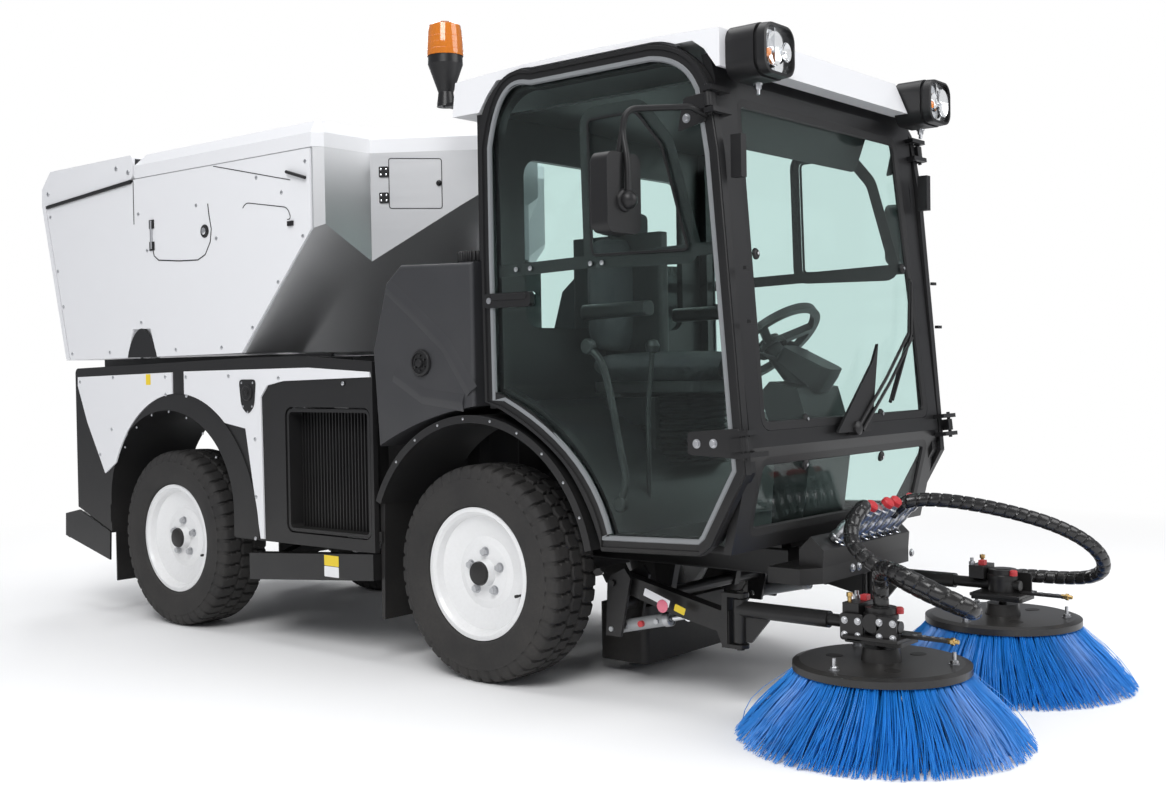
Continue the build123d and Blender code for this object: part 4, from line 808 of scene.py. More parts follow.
class SWEEPER_OT_hopper(bpy.types.Operator):
    """Seams, screws, access doors, lock and hinges of the hopper"""
    bl_idname = "sweeper.hopper"
    bl_label = "Hopper details"

    def execute(self, context):
        seams, screws, black, metal, bright = Surface(), Surface(), Surface(), Surface(), Surface()
        access = [(-1.300, 1.552), (-1.290, 1.520), (-1.258, 1.500), (-1.110, 1.488), (-0.985, 1.484),
                  (-0.935, 1.502), (-0.900, 1.550), (-0.892, 1.600), (-0.905, 1.655), (-0.912, 1.700)]
        small = round_corners([(-0.705, 1.640), (-0.671, 1.682), (-0.415, 1.642), (-0.394, 1.594)], 0.025)
        for _, side in SIDES:
            across, up = side_frame(side)
            strip(seams, access, side, PANEL_Y, 0.0045)
            strip(seams, small.tolist()[6:], side, PANEL_Y)
            strip(seams, [(-0.870, 1.842), (-0.397, 1.741)], side, PANEL_Y)
            strip(seams, [(-1.4335, 1.842), (-1.4335, 1.660)], side, PANEL_Y, 0.004)
            strip(black, [(-2.128, 1.790), (-1.445, 1.838)], side, PANEL_Y + 0.003, 0.014, 0.005)
            rod(black, [(-0.408, side * 0.650, 1.771), (-0.300, side * 0.650, 1.739)], 0.0065)
            screw_row(screws, (
                (-2.105, 1.745), (-2.050, 1.500), (-2.010, 1.340), (-1.945, 1.130), (-1.640, 1.130),
                (-1.395, 1.250), (-1.150, 1.132), (-0.840, 1.134), (-0.640, 1.205), (-0.480, 1.370),
                (-0.330, 1.530), (-0.310, 1.800), (-0.600, 1.770), (-0.860, 1.560), (-1.340, 1.545),
                (-1.400, 1.700), (-0.990, 1.700), (-0.450, 1.700)), side, PANEL_Y, 0.0080)
            # the access door's hinge: a pin between two leaves
            for z in (1.560, 1.650):
                black.block((-1.318, side * 0.6412 - 0.0035, z - 0.018),
                            (-1.286, side * 0.6412 + 0.0035, z + 0.018))
            rod(metal, [(-1.302, side * 0.645, 1.548), (-1.302, side * 0.645, 1.664)], 0.005, up=(1, 0, 0))
            # the round lock
            black.turned([(0.026, 0), (0.026, 0.003), (0.021, 0.006), (0.018, 0.004), (0, 0.004)],
                         (-0.935, side * 0.640, 1.594), (0, side, 0), 28)
            bright.turned([(0.014, 0), (0.014, 0.004), (0.011, 0.006), (0, 0.006)],
                          (-0.935, side * 0.6435, 1.594),
                          (0, side, 0), 20)
            # the latch of the small door, and the arch behind the pivot bracket
            black.block((-0.412, side * 0.644 - 0.004, 1.572), (-0.382, side * 0.644 + 0.004, 1.590))
            bow = np.linspace(0, np.pi, 17)
            arch = np.stack([-1.3945 + 0.108 * np.cos(bow) * (1 - 0.25 * np.sin(bow)),
                             1.105 + 0.120 * np.sin(bow)], 1)
            black.plate(on_side(arch.tolist(), side), (0, side * 0.6398, 0), across, up, 0.0012)
            # the service door on the diagonal steel facet
            along = np.array((0.843, side * -0.538, 0))
            out = np.array((0.538, side * 0.843, 0))
            corner = np.array((-0.245, side * 0.385, 0))
            door = round_corners([(0.070, 1.640), (0.275, 1.634), (0.275, 1.822), (0.070, 1.830)], 0.012)
            face = door if side < 0 else door * (-1, 1)
            direction = along if side < 0 else -along
            loop(seams, face, corner + out * 0.0004, direction, up,
                 [(0, 0), (0.003, 0), (0.003, 0.001), (0, 0.001)])
            for z in (1.681, 1.778):
                spot = corner + along * 0.052
                black.plate(rounded(0.036, 0.040, 0.004) + (0, z), spot + out * 0.0004, direction, up, 0.006)
                for across_step in (-0.010, 0.010):
                    for step in (-0.010, 0.010):
                        screw(bright, spot + out * 0.0064 + along * across_step + np.array((0, 0, z + step)),
                              out, 0.004)
            black.turned([(0.011, 0), (0.011, 0.004), (0.006, 0.008), (0.006, 0.018), (0, 0.019)],
                         corner + along * 0.263 + out * 0.0004 + np.array((0, 0, 1.730)), out, 16)
        seams.object("hopper_seams", black_plastic(), "hopper", "panel_white", smooth=False)
        screws.object("hopper_screws", zinc(), "hopper", "hopper_steel")
        black.object("hopper_fittings", black_coat(), "hopper", "steel_black", bevel=0.001)
        metal.object("hopper_hinge_pins", zinc(), "hopper", "hopper_steel")
        bright.object("hopper_locks", chrome(), "hopper", "hopper_steel")
        cap = Surface()
        for _, side in SIDES:
            screw_row(cap, (
                (-2.120, 1.850), (-1.560, 1.905), (-1.470, 1.880)), side, PANEL_Y, 0.0110)
        cap.object("tailgate_screws", zinc(), "tailgate", "hopper_steel")
        return {"FINISHED"}


class SWEEPER_OT_body(bpy.types.Operator):
    """Screws, blank stickers and the shield-shaped lock recess of the lower body, and the arch bolts"""
    bl_idname = "sweeper.body"
    bl_label = "Body details"

    def execute(self, context):
        screws, black, bright, yellow, white = Surface(), Surface(), Surface(), Surface(), Surface()
        for _, side in SIDES:
            across, up = side_frame(side)
            screw_row(screws, (
                (-1.885, 1.005), (-1.620, 1.022), (-1.230, 1.022), (-1.230, 0.950), (-1.640, 0.800),
                (-1.735, 0.690), (-1.085, 1.020), (-1.085, 0.945), (-0.800, 1.022), (-0.490, 1.012),
                (-0.125, 0.990), (-0.640, 0.780), (-0.640, 0.560), (-0.650, 0.400)), side, PANEL_Y, 0.0080)
            shield = round_corners([(-0.733, 1.008), (-0.627, 1.008), (-0.640, 0.905), (-0.680, 0.872),
                                    (-0.720, 0.905)], 0.022)
            black.plate(on_side(shield, side), (0, side * 0.6398, 0), across, up, 0.003)
            black.turned([(0.031, 0), (0.031, 0.004), (0.026, 0.006), (0.022, 0.003), (0, 0.003)],
                         (-0.680, side * 0.6425, 0.957), (0, side, 0), 28)
            black.turned([(0.010, 0), (0.010, 0.007), (0, 0.008)], (-0.680, side * 0.6425, 0.957),
                         (0, side, 0), 16)
            screw_row(bright, (
                (-0.715, 0.995), (-0.645, 0.995), (-0.708, 0.905), (-0.652, 0.905), (-0.680, 0.884)),
                side, 0.6428, 0.0045)
            for angle in range(16, 165, 18):
                place = (-1.225 + 0.400 * math.cos(math.radians(angle)), side * PANEL_Y,
                         0.480 + 0.400 * math.sin(math.radians(angle)))
                if place[2] > 0.62:
                    screw(bright, place, (0, side, 0), 0.005)
            for angle in range(24, 150, 14):
                a = math.radians(angle)
                screw(bright, (0.5 + 0.502 * math.cos(a), side * 0.6322, 0.37 + 0.502 * math.sin(a)),
                      (0, side, 0), 0.005)
        across, up = side_frame(-1)
        yellow.plate(rounded(0.034, 0.044, 0.003) + (-1.354, 1.012), (0, -PANEL_Y, 0), across, up, 0.0005)
        label = rounded(0.080, 0.038, 0.003)
        yellow.plate(label + (-0.205, 0.350), (0, -PANEL_Y, 0), across, up, 0.0006)
        white.plate(label + (-0.205, 0.310), (0, -PANEL_Y, 0), across, up, 0.0006)
        screws.object("panel_screws", zinc(), "chassis", "hopper_steel")
        # dark strips set back behind the panels; the first of them is painted shade, the other two sit at the
        # cab's rear corner
        rest = Surface()
        for _, side in SIDES:
            # painted shade: a dark strip set back in the gap between the body and the hopper, standing in for
            # the shade in that gap
            y = sorted((side * 0.496, side * 0.512))
            rest.block((-1.900, y[0], 1.050), (-0.340, y[1], 1.103))
            y = sorted((side * 0.560, side * 0.602))
            rest.block((0.524, y[0], 1.388), (0.560, y[1], 1.862))
            y = sorted((side * 0.585, side * 0.602))
            rest.block((0.430, y[0], 1.866), (0.560, y[1], 1.872))
        rest.object("dark_strips_and_gap_shade", black_coat(), "chassis", "body_black", bevel=0.001)
        black.object("lock_recesses", black_plastic(), "chassis", "body_black", bevel=0.001)
        bright.object("trim_screws", zinc(), "chassis", "hopper_steel")
        yellow.object("yellow_stickers", sticker_yellow(), "chassis", "panel_white", smooth=False)
        white.object("white_stickers", white_paint(), "chassis", "panel_white", smooth=False)
        return {"FINISHED"}


class SWEEPER_OT_tank_fittings(bpy.types.Operator):
    """Filler caps, the round caps on the tanks' sides and the moulded crease"""
    bl_idname = "sweeper.tank_fittings"
    bl_label = "Tank fittings"

    def execute(self, context):
        caps, creases = Surface(), Surface()
        for _, side in SIDES:
            turn = np.linspace(0, 2 * np.pi, 96, endpoint=False)
            flutes = 0.0505 + 0.0018 * np.sign(np.sin(24 * turn))
            rows = [(flutes, 1.392), (flutes, 1.420), (flutes * 0.94, 1.4265)]
            grid = np.stack([np.stack([0.440 + r * np.cos(turn), side * 0.545 + r * np.sin(turn),
                                       np.full_like(turn, z)], -1) for r, z in rows])
            caps.grid(grid, closed_v=True, ends=True)
            place = (0.283, side * 0.6405, 1.057)
            caps.turned([(0.046, 0), (0.046, 0.004), (0.043, 0.010), (0.036, 0.012), (0.034, 0.005),
                         (0.016, 0.004),
                         (0.013, 0.016), (0, 0.018)], place, (0, side, 0), 40)
            for angle in (30, 90, 150, 210, 270, 330):
                a = math.radians(angle)
                caps.block((0.283 + 0.025 * math.cos(a) - 0.003, side * 0.648 - 0.004,
                            1.057 + 0.025 * math.sin(a) - 0.003),
                           (0.283 + 0.025 * math.cos(a) + 0.003, side * 0.648 + 0.004,
                            1.057 + 0.025 * math.sin(a) + 0.003))
            ridge = [(-0.030, -0.001), (-0.004, 0.007), (0.004, 0.007), (0.030, -0.001)]
            for route in ([(0.120, 1.325), (0.250, 1.230), (0.399, 1.115), (0.515, 0.960)],
                          [(0.150, 1.020), (0.290, 0.945), (0.480, 0.925)]):
                path = [(x, side * PANEL_Y, z) for x, z in route]
                creases.carried(ridge, path, up=(0, side, 0))
        caps.object("tank_caps", black_plastic(), "chassis", "tank_grey", bevel=0.001)
        creases.object("tank_creases", tank_plastic(), "chassis", "tank_grey", angle=60)
        return {"FINISHED"}


def door_outline(steps=14):
    """The door's outline (x, z): straight edges joined by curves at the top corners and over the wheel."""
    def curve(start, bulge, end):
        t = np.linspace(0, 1, steps)[:, None]
        start, bulge, end = (np.asarray(p, float) for p in (start, bulge, end))
        control = 2 * bulge - (start + end) / 2
        return (1 - t) ** 2 * start + 2 * t * (1 - t) * control + t ** 2 * end
    front = [(1.490, 1.636), (1.526, 1.215), (1.554, 0.881), (1.566, 0.728), (1.452, 0.522), (1.407, 0.490)]
    return np.concatenate([
        [(0.572, 0.927), (0.566, 1.400)], curve((0.566, 1.742), (0.646, 1.935), (0.790, 1.966)),
        curve((1.250, 1.966), (1.382, 1.922), (1.459, 1.821)), front, curve((1.048, 0.478), (0.906, 0.733),
                                                                          (0.580, 0.925))[:-1]])


class SWEEPER_OT_cab_trim(bpy.types.Operator):
    """Seals, window mouldings, hinge plates, handles and mirrors of the doors"""
    bl_idname = "sweeper.cab_trim"
    bl_label = "Door trim"

    def execute(self, context):
        for side_name, side in SIDES:
            across, up = side_frame(side)
            door = f"door_{side_name}"
            seal, dark, black, bright, red = Surface(), Surface(), Surface(), Surface(), Surface()
            outline = on_side(door_outline(), side)
            loop(seal, outline, (0, side * 0.6345, 0), across, up,
                 [(0.033, 0), (0.049, 0), (0.049, -0.006), (0.046, 0.003), (0.036, 0.004)])
            loop(dark, outline, (0, side * 0.6345, 0), across, up,
                 [(0.002, 0), (0.016, 0), (0.014, 0.006), (0.004, 0.006)])
            pane = round_corners([(1.007, 1.782), (1.193, 1.784), (1.286, 1.674), (1.376, 1.364),
                                  (1.018, 1.371)], 0.02)
            loop(dark, on_side(pane, side), (0, side * 0.6242, 0), across, up,
                 [(-0.003, 0), (0.006, 0), (0.005, 0.004), (-0.002, 0.004)])
            loop(dark, on_side(pane, side), (0, side * 0.6150, 0), across, up,
                 [(-0.038, 0), (0, 0), (0, 0.0012), (-0.038, 0.0012)])
            band = [(0.625, 1.325), (1.470, 1.348), (1.466, 1.385), (0.625, 1.364)]
            dark.plate(on_side(band, side), (0, side * 0.6155, 0), across, up, 0.001)
            for x in (0.705, 0.765, 1.010, 1.055):
                screw(bright, (x, side * 0.6243, 1.348), (0, side, 0), 0.008)
            # the grab bar behind the glass, with its end fittings
            bar = smooth_path([(0.975, side * 0.596, 1.098), (1.020, side * 0.590, 1.050),
                               (1.050, side * 0.588, 0.960),
                               (1.085, side * 0.588, 0.800), (1.108, side * 0.590, 0.690),
                               (1.092, side * 0.598, 0.620)], 8)
            rod(black, bar, 0.011, 12, up=(0, side, 0))
            for end in (bar[0], bar[-1]):
                black.turned([(0.024, -0.014), (0.024, 0.004), (0.018, 0.009), (0, 0.010)],
                             (end[0], side * 0.600, end[2]), (0, side, 0), 20)
            # hinge plates clamped to the glass, with their bolts and caps
            black.plate(on_side(round_corners([(1.372, 0.845), (1.548, 0.858), (1.556, 0.772),
                                               (1.372, 0.780)], 0.012), side),
                        (0, side * 0.635, 0), across, up, 0.006)
            black.plate(on_side(round_corners([(1.375, 1.795), (1.448, 1.800), (1.452, 1.720),
                                               (1.352, 1.700)], 0.010), side),
                        (0, side * 0.635, 0), across, up, 0.006)
            for x, z in ((1.405, 0.812), (1.462, 0.814), (1.385, 1.735)):
                hexagon(bright, (x, side * 0.641, z), (0, side, 0), 0.010, 0.008)
            red.turned([(0.012, 0), (0.012, 0.006), (0.008, 0.009), (0, 0.010)], (1.530, side * 0.641, 0.816),
                       (0, side, 0), 16)
            # the handle's recess line and key barrel
            bright.turned([(0.010, 0), (0.010, 0.003), (0, 0.004)], (0.604, side * 0.643, 1.252),
                          (0, side, 0), 16)
            black.plate(rounded(0.150, 0.018, 0.008) + (-side * 0.690, 1.262), (0, side * 0.643, 0), across,
                        up, 0.004)
            # the mirror's glass, back ball and lower arm
            x, y, z = 1.300, side * 0.860, 1.510
            glass = Surface().plate(rounded(0.128, 0.196, 0.020), (x - 0.0285, y, z), (0, -1, 0), (0, 0, 1),
                                    0.001)
            glass.object(f"mirror_glass_{side_name}", chrome(), door, "rod_chrome", smooth=False)
            loop(black, rounded(0.150, 0.220, 0.030), (x - 0.028, y, z), (0, -1, 0), (0, 0, 1),
                 [(0, 0), (0.010, 0), (0.008, 0.005), (0.001, 0.004)])
            turn = np.linspace(-np.pi / 2, np.pi / 2, 9)
            ball = np.stack([0.026 * np.cos(turn), 0.026 * np.sin(turn)], 1)
            ball[[0, -1], 0] = 0
            black.turned(ball, (x + 0.042, y, z - 0.020), (1, 0, 0), 24)
            black.turned([(0.034, 0.024), (0.032, 0.034), (0.020, 0.040), (0, 0.040)], (x, y, z - 0.020),
                         (1, 0, 0), 24)
            rod(black, smooth_path([(1.326, side * 0.851, 1.720), (1.322, side * 0.853, 1.672),
                                    (1.338, side * 0.858, 1.600), (1.342, side * 0.860, 1.500)], 6), 0.0085,
                                    12,
                up=(0, side, 0))
            seal.object(f"door_seal_{side_name}", seal_rubber(), door, "door_rubber")
            dark.object(f"door_mouldings_{side_name}", rubber(), door, "door_rubber")
            black.object(f"door_fittings_{side_name}", black_plastic(), door, "door_rubber", bevel=0.0012)
            bright.object(f"door_bolts_{side_name}", zinc(), door, "cylinder_grey")
            red.object(f"hinge_cap_{side_name}", red_cap(), door, "beacon_amber")
        return {"FINISHED"}


class SWEEPER_OT_windscreen(bpy.types.Operator):
    """Dark border, glass fixings, wiper and its cover, pillar box and sun visor"""
    bl_idname = "sweeper.windscreen"
    bl_label = "Windscreen fittings"

    def execute(self, context):
        upper_out, lower_out = np.array((0.995, 0, 0.0995)), np.array((0.974, 0, -0.224))
        upper_up, lower_up = np.array((-0.0995, 0, 0.995)), np.array((0.224, 0, 0.974))
        border, black, bright = Surface(), Surface(), Surface()
        fold = np.array((1.560, 0, 0.800))
        upper = round_corners([(-0.530, 0.050), (0.530, 0.050), (0.497, 1.008), (-0.497, 1.008)], 0.045)
        lower = round_corners([(-0.530, -0.265), (0.530, -0.265), (0.533, -0.034), (-0.533, -0.034)], 0.045)
        for outline, up, out in ((upper, upper_up, upper_out), (lower, lower_up, lower_out)):
            loop(border, outline, fold - out * 0.008, (0, 1, 0), up,
                 [(-0.006, 0), (0.024, 0), (0.020, 0.006), (-0.004, 0.008)])
        for v, h, up, out in ((-0.275, 0.071, upper_up, upper_out), (0.203, 0.069, upper_up, upper_out),
                              (-0.463, 0.558, upper_up, upper_out), (0.463, 0.558, upper_up, upper_out),
                              (-0.269, -0.069, lower_up, lower_out), (0.220, -0.075, lower_up, lower_out)):
            place = fold + (0, v, 0) + up * h - out * 0.010
            black.turned([(0.017, 0), (0.017, 0.004), (0.013, 0.008), (0.006, 0.009), (0.005, 0.012),
                          (0, 0.013)],
                         place, out, 22)
            bright.turned([(0.005, 0), (0.005, 0.003), (0, 0.004)], place + out * 0.010, out, 12)

        def on_screen(y, height, stand):
            return fold + (0, y, 0) + upper_up * height + upper_out * stand

        # the wiper: a triangular cover, two parallel arms and the blade
        cover = [(-0.150, 0.020), (0.070, 0.020), (0.172, 0.300), (0.120, 0.235)]
        black.plate(round_corners(cover, 0.012), on_screen(0, 0, 0.016), (0, 1, 0), upper_up, 0.010)
        pivot = on_screen(-0.030, 0.030, 0.030)
        black.turned([(0.022, -0.024), (0.022, 0.004), (0.014, 0.010), (0, 0.011)], pivot, upper_out, 20)
        for start, end in (((-0.030, 0.030), (0.395, 0.330)), ((0.000, 0.022), (0.420, 0.316))):
            rod(black, [on_screen(*start, 0.030), on_screen(*(np.array(start) * 0.5 + np.array(end) * 0.5),
                                                            0.034),
                        on_screen(*end, 0.024)], 0.0055, 8)
        rod(black, [on_screen(0.235, 0.105, 0.014), on_screen(0.420, 0.330, 0.014),
                    on_screen(0.475, 0.520, 0.012)],
            0.006, 8)
        rod(black, [on_screen(0.240, 0.110, 0.022), on_screen(0.420, 0.330, 0.024),
                    on_screen(0.470, 0.510, 0.020)],
            0.004, 8)
        # the pillar's box and clips, one each side
        for _, side in SIDES:
            for low, high in (((1.505, 0.572, 1.560), (1.540, 0.600, 1.680)),
                              ((1.545, 0.580, 1.300), (1.556, 0.606, 1.310)),
                              ((1.560, 0.580, 1.150), (1.572, 0.612, 1.160))):
                y = sorted((side * low[1], side * high[1]))
                black.block((low[0], y[0], low[2]), (high[0], y[1], high[2]))
        border.object("screen_border", rubber(), "chassis", "cab_black")
        black.object("screen_fittings", black_plastic(), "chassis", "cab_black", bevel=0.001)
        bright.object("screen_fixings", zinc(), "chassis", "cylinder_grey")
        liner = Surface().block((0.600, -0.555, 1.852), (1.400, 0.555, 1.860))
        liner.object("headliner", black_plastic(), "chassis", "cab_black")
        visor = Surface().plate(round_corners([(-0.42, -0.16), (0.42, -0.16), (0.42, 0), (-0.42, 0)], 0.03),
                                (1.395, 0, 1.845), (0, 1, 0), (0.35, 0, 0.94), 0.006)
        visor.object("sun_visor", black_plastic(), "chassis", "console_grey")
        return {"FINISHED"}


class SWEEPER_OT_lamps(bpy.types.Operator):
    """Headlamps with reflector, divider, amber indicator and clear cover, and the beacon's dome"""
    bl_idname = "sweeper.lamps"
    bl_label = "Lamps"

    def execute(self, context):
        face_x, centre_z = 1.598, 1.912
        hood, mirror, amber, cover, bolts = Surface(), Surface(), Surface(), Surface(), Surface()
        forward = ((0, 1, 0), (0, 0, 1))
        for _, side in SIDES:
            centre = (face_x, side * 0.516, centre_z)
            outline = rounded(0.166, 0.146, 0.045, 8)
            loop(hood, outline, centre, *forward, [(0, -0.004), (0.012, -0.004), (0.010, 0.022),
                                                   (0.002, 0.020)])
            plate = rounded(0.146, 0.126, 0.038, 8)
            mirror.plate(plate, (face_x + 0.0005, centre[1], centre_z), *forward, 0.001)
            # the bowl of the main beam: a parabola turned about X, beside a smaller one with the indicator
            r = np.linspace(0.048, 0.008, 10)
            bowl = np.stack([r, 0.014 * (r / 0.048) ** 2], 1)
            for offset, share in ((0.026, 1.0), (-0.042, 0.58)):
                spot = (face_x + 0.0016, centre[1] + offset * side, centre_z)
                mirror.turned(np.concatenate([bowl * (share, 1), [(0.0, 0.0015)]])[::-1], spot, (1, 0, 0), 32)
                mirror.turned([(0.007 * share, 0.001), (0.007 * share, 0.012), (0, 0.014)], spot, (1, 0, 0),
                              16)
            mirror.block((face_x + 0.001, centre[1] - 0.018, centre_z - 0.060),
                         (face_x + 0.014, centre[1] - 0.014, centre_z + 0.060))
            amber.turned([(0.012, 0.002), (0.012, 0.013), (0.007, 0.017), (0, 0.018)],
                         (face_x, centre[1] - 0.046, centre_z - 0.012), (1, 0, 0), 20)
            steps = np.linspace(1, 0, 6)
            dome = np.stack([np.concatenate([np.full((len(plate), 1), face_x + 0.015 + 0.006 * (1 - s ** 2)),
                                             np.array((centre[1], centre_z)) + plate * max(s, 0.02)],
                                             1) for s in steps])
            cover.grid(dome, closed_v=True, ends=False)
            cover.faces.append(list(range(cover.count - len(plate), cover.count)))
            hexagon(bolts, (1.545, side * 0.516, 1.828), (0, 0, -1), 0.010, 0.016)
            bolts.turned([(0.006, 0), (0.006, 0.034), (0, 0.036)], (1.545, side * 0.516, 1.832), (0, 0, -1),
                         12)
        hood.object("headlamp_hoods", black_plastic(), "chassis", "body_black")
        mirror.object("headlamp_reflectors", chrome(), "chassis", "lamp_clear")
        amber.object("headlamp_indicators", amber_glass(), "chassis", "beacon_amber")
        cover.object("headlamp_covers", clear_glass(), "chassis", "lamp_clear")
        bolts.object("headlamp_bolts", zinc(), "chassis", "cylinder_grey")
        place = (0.280, -0.500, 0)
        dome = Surface().turned([(0.0615, 2.108), (0.0625, 2.112), (0.0610, 2.150), (0.0580, 2.192),
                                 (0.0540, 2.212),
                                 (0.0400, 2.2205), (0, 2.2225)], place, (0, 0, 1), 48)
        dome.object("beacon_dome", amber_glass(), "chassis", "beacon_amber")
        rings = Surface()
        for r, z in ((0.0612, 2.128), (0.0600, 2.150), (0.0588, 2.172)):
            rings.turned([(r, z - 0.002), (r + 0.0012, z), (r, z + 0.002), (r - 0.001, z)], place, (0, 0, 1),
                         48)
        rings.object("beacon_rings", amber_glass(), "chassis", "beacon_amber")
        return {"FINISHED"}


def vertex_places(mesh):
    """The places of a mesh's vertices as one array."""
    places = np.empty(3 * len(mesh.vertices), np.float32)
    mesh.vertices.foreach_get("co", places)
    return places.reshape(-1, 3).astype(float)


def bake(piece):
    """Turn a piece's modifiers into its mesh."""
    graph = bpy.context.evaluated_depsgraph_get()
    mesh = bpy.data.meshes.new_from_object(piece.evaluated_get(graph))
    piece.modifiers.clear()
    piece.data = mesh


def cushion(name, centre, size, thin):
    """A padded form. It starts as a superellipsoid: half sizes by powers of the cosines and sines of two
    angles. A cloth simulation with pressure then puffs it between its seams: the welt round its middle and
    two channels."""
    u = np.linspace(-np.pi / 2, np.pi / 2, 17)[1:-1, None]
    v = np.linspace(-np.pi, np.pi, 48, endpoint=False)[None]

    def power(w, k):
        return np.sign(w) * np.abs(w) ** k

    half = np.asarray(size) / 2
    flat = [k for k in range(3) if k != thin]
    grid = np.empty((15, 48, 3))
    grid[..., flat[0]] = half[flat[0]] * power(np.cos(u), 0.38) * power(np.cos(v), 0.34)
    grid[..., flat[1]] = half[flat[1]] * power(np.cos(u), 0.38) * power(np.sin(v), 0.34)
    grid[..., thin] = half[thin] * power(np.sin(u), 0.60)
    piece = Surface().grid(grid + centre, closed_v=True, ends=True).object(
        name, seat_fabric(), "chassis", "seat_cloth", smooth=False)
    shell = piece.modifiers.new("remesh", "REMESH")
    shell.mode = "VOXEL"
    shell.voxel_size = 0.0075
    bake(piece)
    rest = vertex_places(piece.data)
    local = rest - centre
    welt = np.abs(local[:, thin]) < 0.0045
    channels = (np.abs(np.abs(local[:, 1]) - 0.125) < 0.005) & (local[:, thin] > 0)
    seams = piece.vertex_groups.new(name="seams")
    seams.add(np.flatnonzero(welt | channels).tolist(), 1.0, "REPLACE")
    cloth = piece.modifiers.new("cloth", "CLOTH")
    cloth.settings.vertex_group_mass = "seams"
    cloth.settings.use_pressure = True
    cloth.settings.uniform_pressure_force = 4.0
    cloth.settings.effector_weights.gravity = 0.0
    cloth.point_cache.frame_end = 20
    for step in range(1, 21):
        bpy.context.scene.frame_set(step)
    bake(piece)
    bpy.context.scene.frame_set(1)
    shift = vertex_places(piece.data) - rest
    far = np.linalg.norm(shift, axis=1)[:, None]
    puffed = rest + shift * np.minimum(1, 0.011 / np.maximum(far, 1e-9))
    piece.data.vertices.foreach_set("co", puffed.ravel())
    piece.data.update()
    piece.data.shade_smooth()
    smooth = piece.modifiers.new("subdivision", "SUBSURF")
    smooth.levels = smooth.render_levels = 1
    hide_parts("seat")
    return piece


class SWEEPER_OT_seat(bpy.types.Operator):
    """Driver's seat: padded cushion, back and headrest with seams, on a bellows"""
    bl_idname = "sweeper.seat"
    bl_label = "Seat"

    def execute(self, context):
        cushion("seat_cushion", (0.875, 0, 1.035), (0.470, 0.430, 0.090), 2)
        cushion("seat_back", (0.668, 0, 1.285), (0.080, 0.420, 0.390), 0)
        cushion("seat_headrest", (0.652, 0, 1.540), (0.070, 0.250, 0.090), 0)
        shell = Surface()
        shell.carried(rounded(0.050, 0.400, 0.015), [(0.636, 0, 1.02), (0.634, 0, 1.50)], up=(1, 0, 0))
        shell.carried(rounded(0.360, 0.440, 0.04), [(0.860, 0, 0.945), (0.860, 0, 0.985)], up=(1, 0, 0))
        for y in (-0.070, 0.070):
            rod(shell, [(0.648, y, 1.470), (0.648, y, 1.520)], 0.007, up=(1, 0, 0))
        heights = np.linspace(0.700, 0.945, 25)
        swell = 1.0 + 0.055 * np.cos(np.arange(25) * np.pi)
        bellows = Surface().carried(rounded(0.290, 0.300, 0.05),
                                    np.stack([np.full(25, 0.860), np.zeros(25), heights], 1),
                                    up=(1, 0, 0), scale=swell)
        shell.object("seat_shell", black_plastic(), "chassis", "console_grey", bevel=0.003)
        bellows.object("seat_bellows", rubber(), "chassis", "door_rubber", angle=20)
        arms = Surface()
        for _, side in SIDES:
            arms.carried(rounded(0.055, 0.050, 0.018), [(0.690, side * 0.262, 1.220),
                                                        (0.960, side * 0.262, 1.225)])
        arms.object("seat_armrests", black_plastic(), "chassis", "console_grey", bevel=0.004)
        return {"FINISHED"}


class SWEEPER_OT_couplers(bpy.types.Operator):
    """Quick couplers: knurled sleeves, red caps and spring clips on the slanted plate"""
    bl_idname = "sweeper.couplers"
    bl_label = "Quick couplers"

    def execute(self, context):
        out = np.array((0.697, 0, 0.717))
        sleeves, caps, clips = Surface(), Surface(), Surface()
        for k in range(8):
            root = np.array((1.582, (k - 3.5) * 0.052, 0.500))
            sleeves.turned([(0.0185, 0.004), (0.0215, 0.010), (0.0215, 0.022), (0.0190, 0.024),
                            (0.0190, 0.040),
                            (0.0205, 0.042), (0.0205, 0.066), (0.0180, 0.070), (0.0180, 0.0845),
                            (0.012, 0.0848),
                            (0, 0.0848)], root, out, 24)
            if k in (1, 2, 3, 4, 6, 7):
                sleeves.turned([(0.0175, 0.084), (0.0175, 0.100), (0.0215, 0.102), (0.0215, 0.122),
                                (0.0180, 0.125),
                                (0.0180, 0.138), (0, 0.139)], root, out, 24)
            if k in (1, 3, 4, 6):
                caps.turned([(0.0195, 0.1385), (0.0195, 0.152), (0.015, 0.157), (0, 0.158)], root, out, 20)
            angle = np.linspace(0, 2 * np.pi, 24)
            wire = root + np.stack([0.018 + 0.018 * np.cos(angle), 0.016 * np.sin(angle),
                                    -0.012 * np.cos(angle)], 1)
            rod(clips, wire, 0.0016, 6)
        sleeves.object("coupler_sleeves", zinc(), "chassis", "rod_chrome", bevel=0.0008)
        caps.object("coupler_caps", red_cap(), "chassis", "beacon_amber")
        clips.object("coupler_clips", chrome(), "chassis", "rod_chrome")
        plates = Surface()
        for y in (-0.100, -0.060, 0.300):
            hexagon(plates, (1.6005, y, 0.408), (1, 0, 0), 0.010, 0.007)
        plates.object("carrier_bolts", zinc(), "chassis", "cylinder_grey")
        return {"FINISHED"}


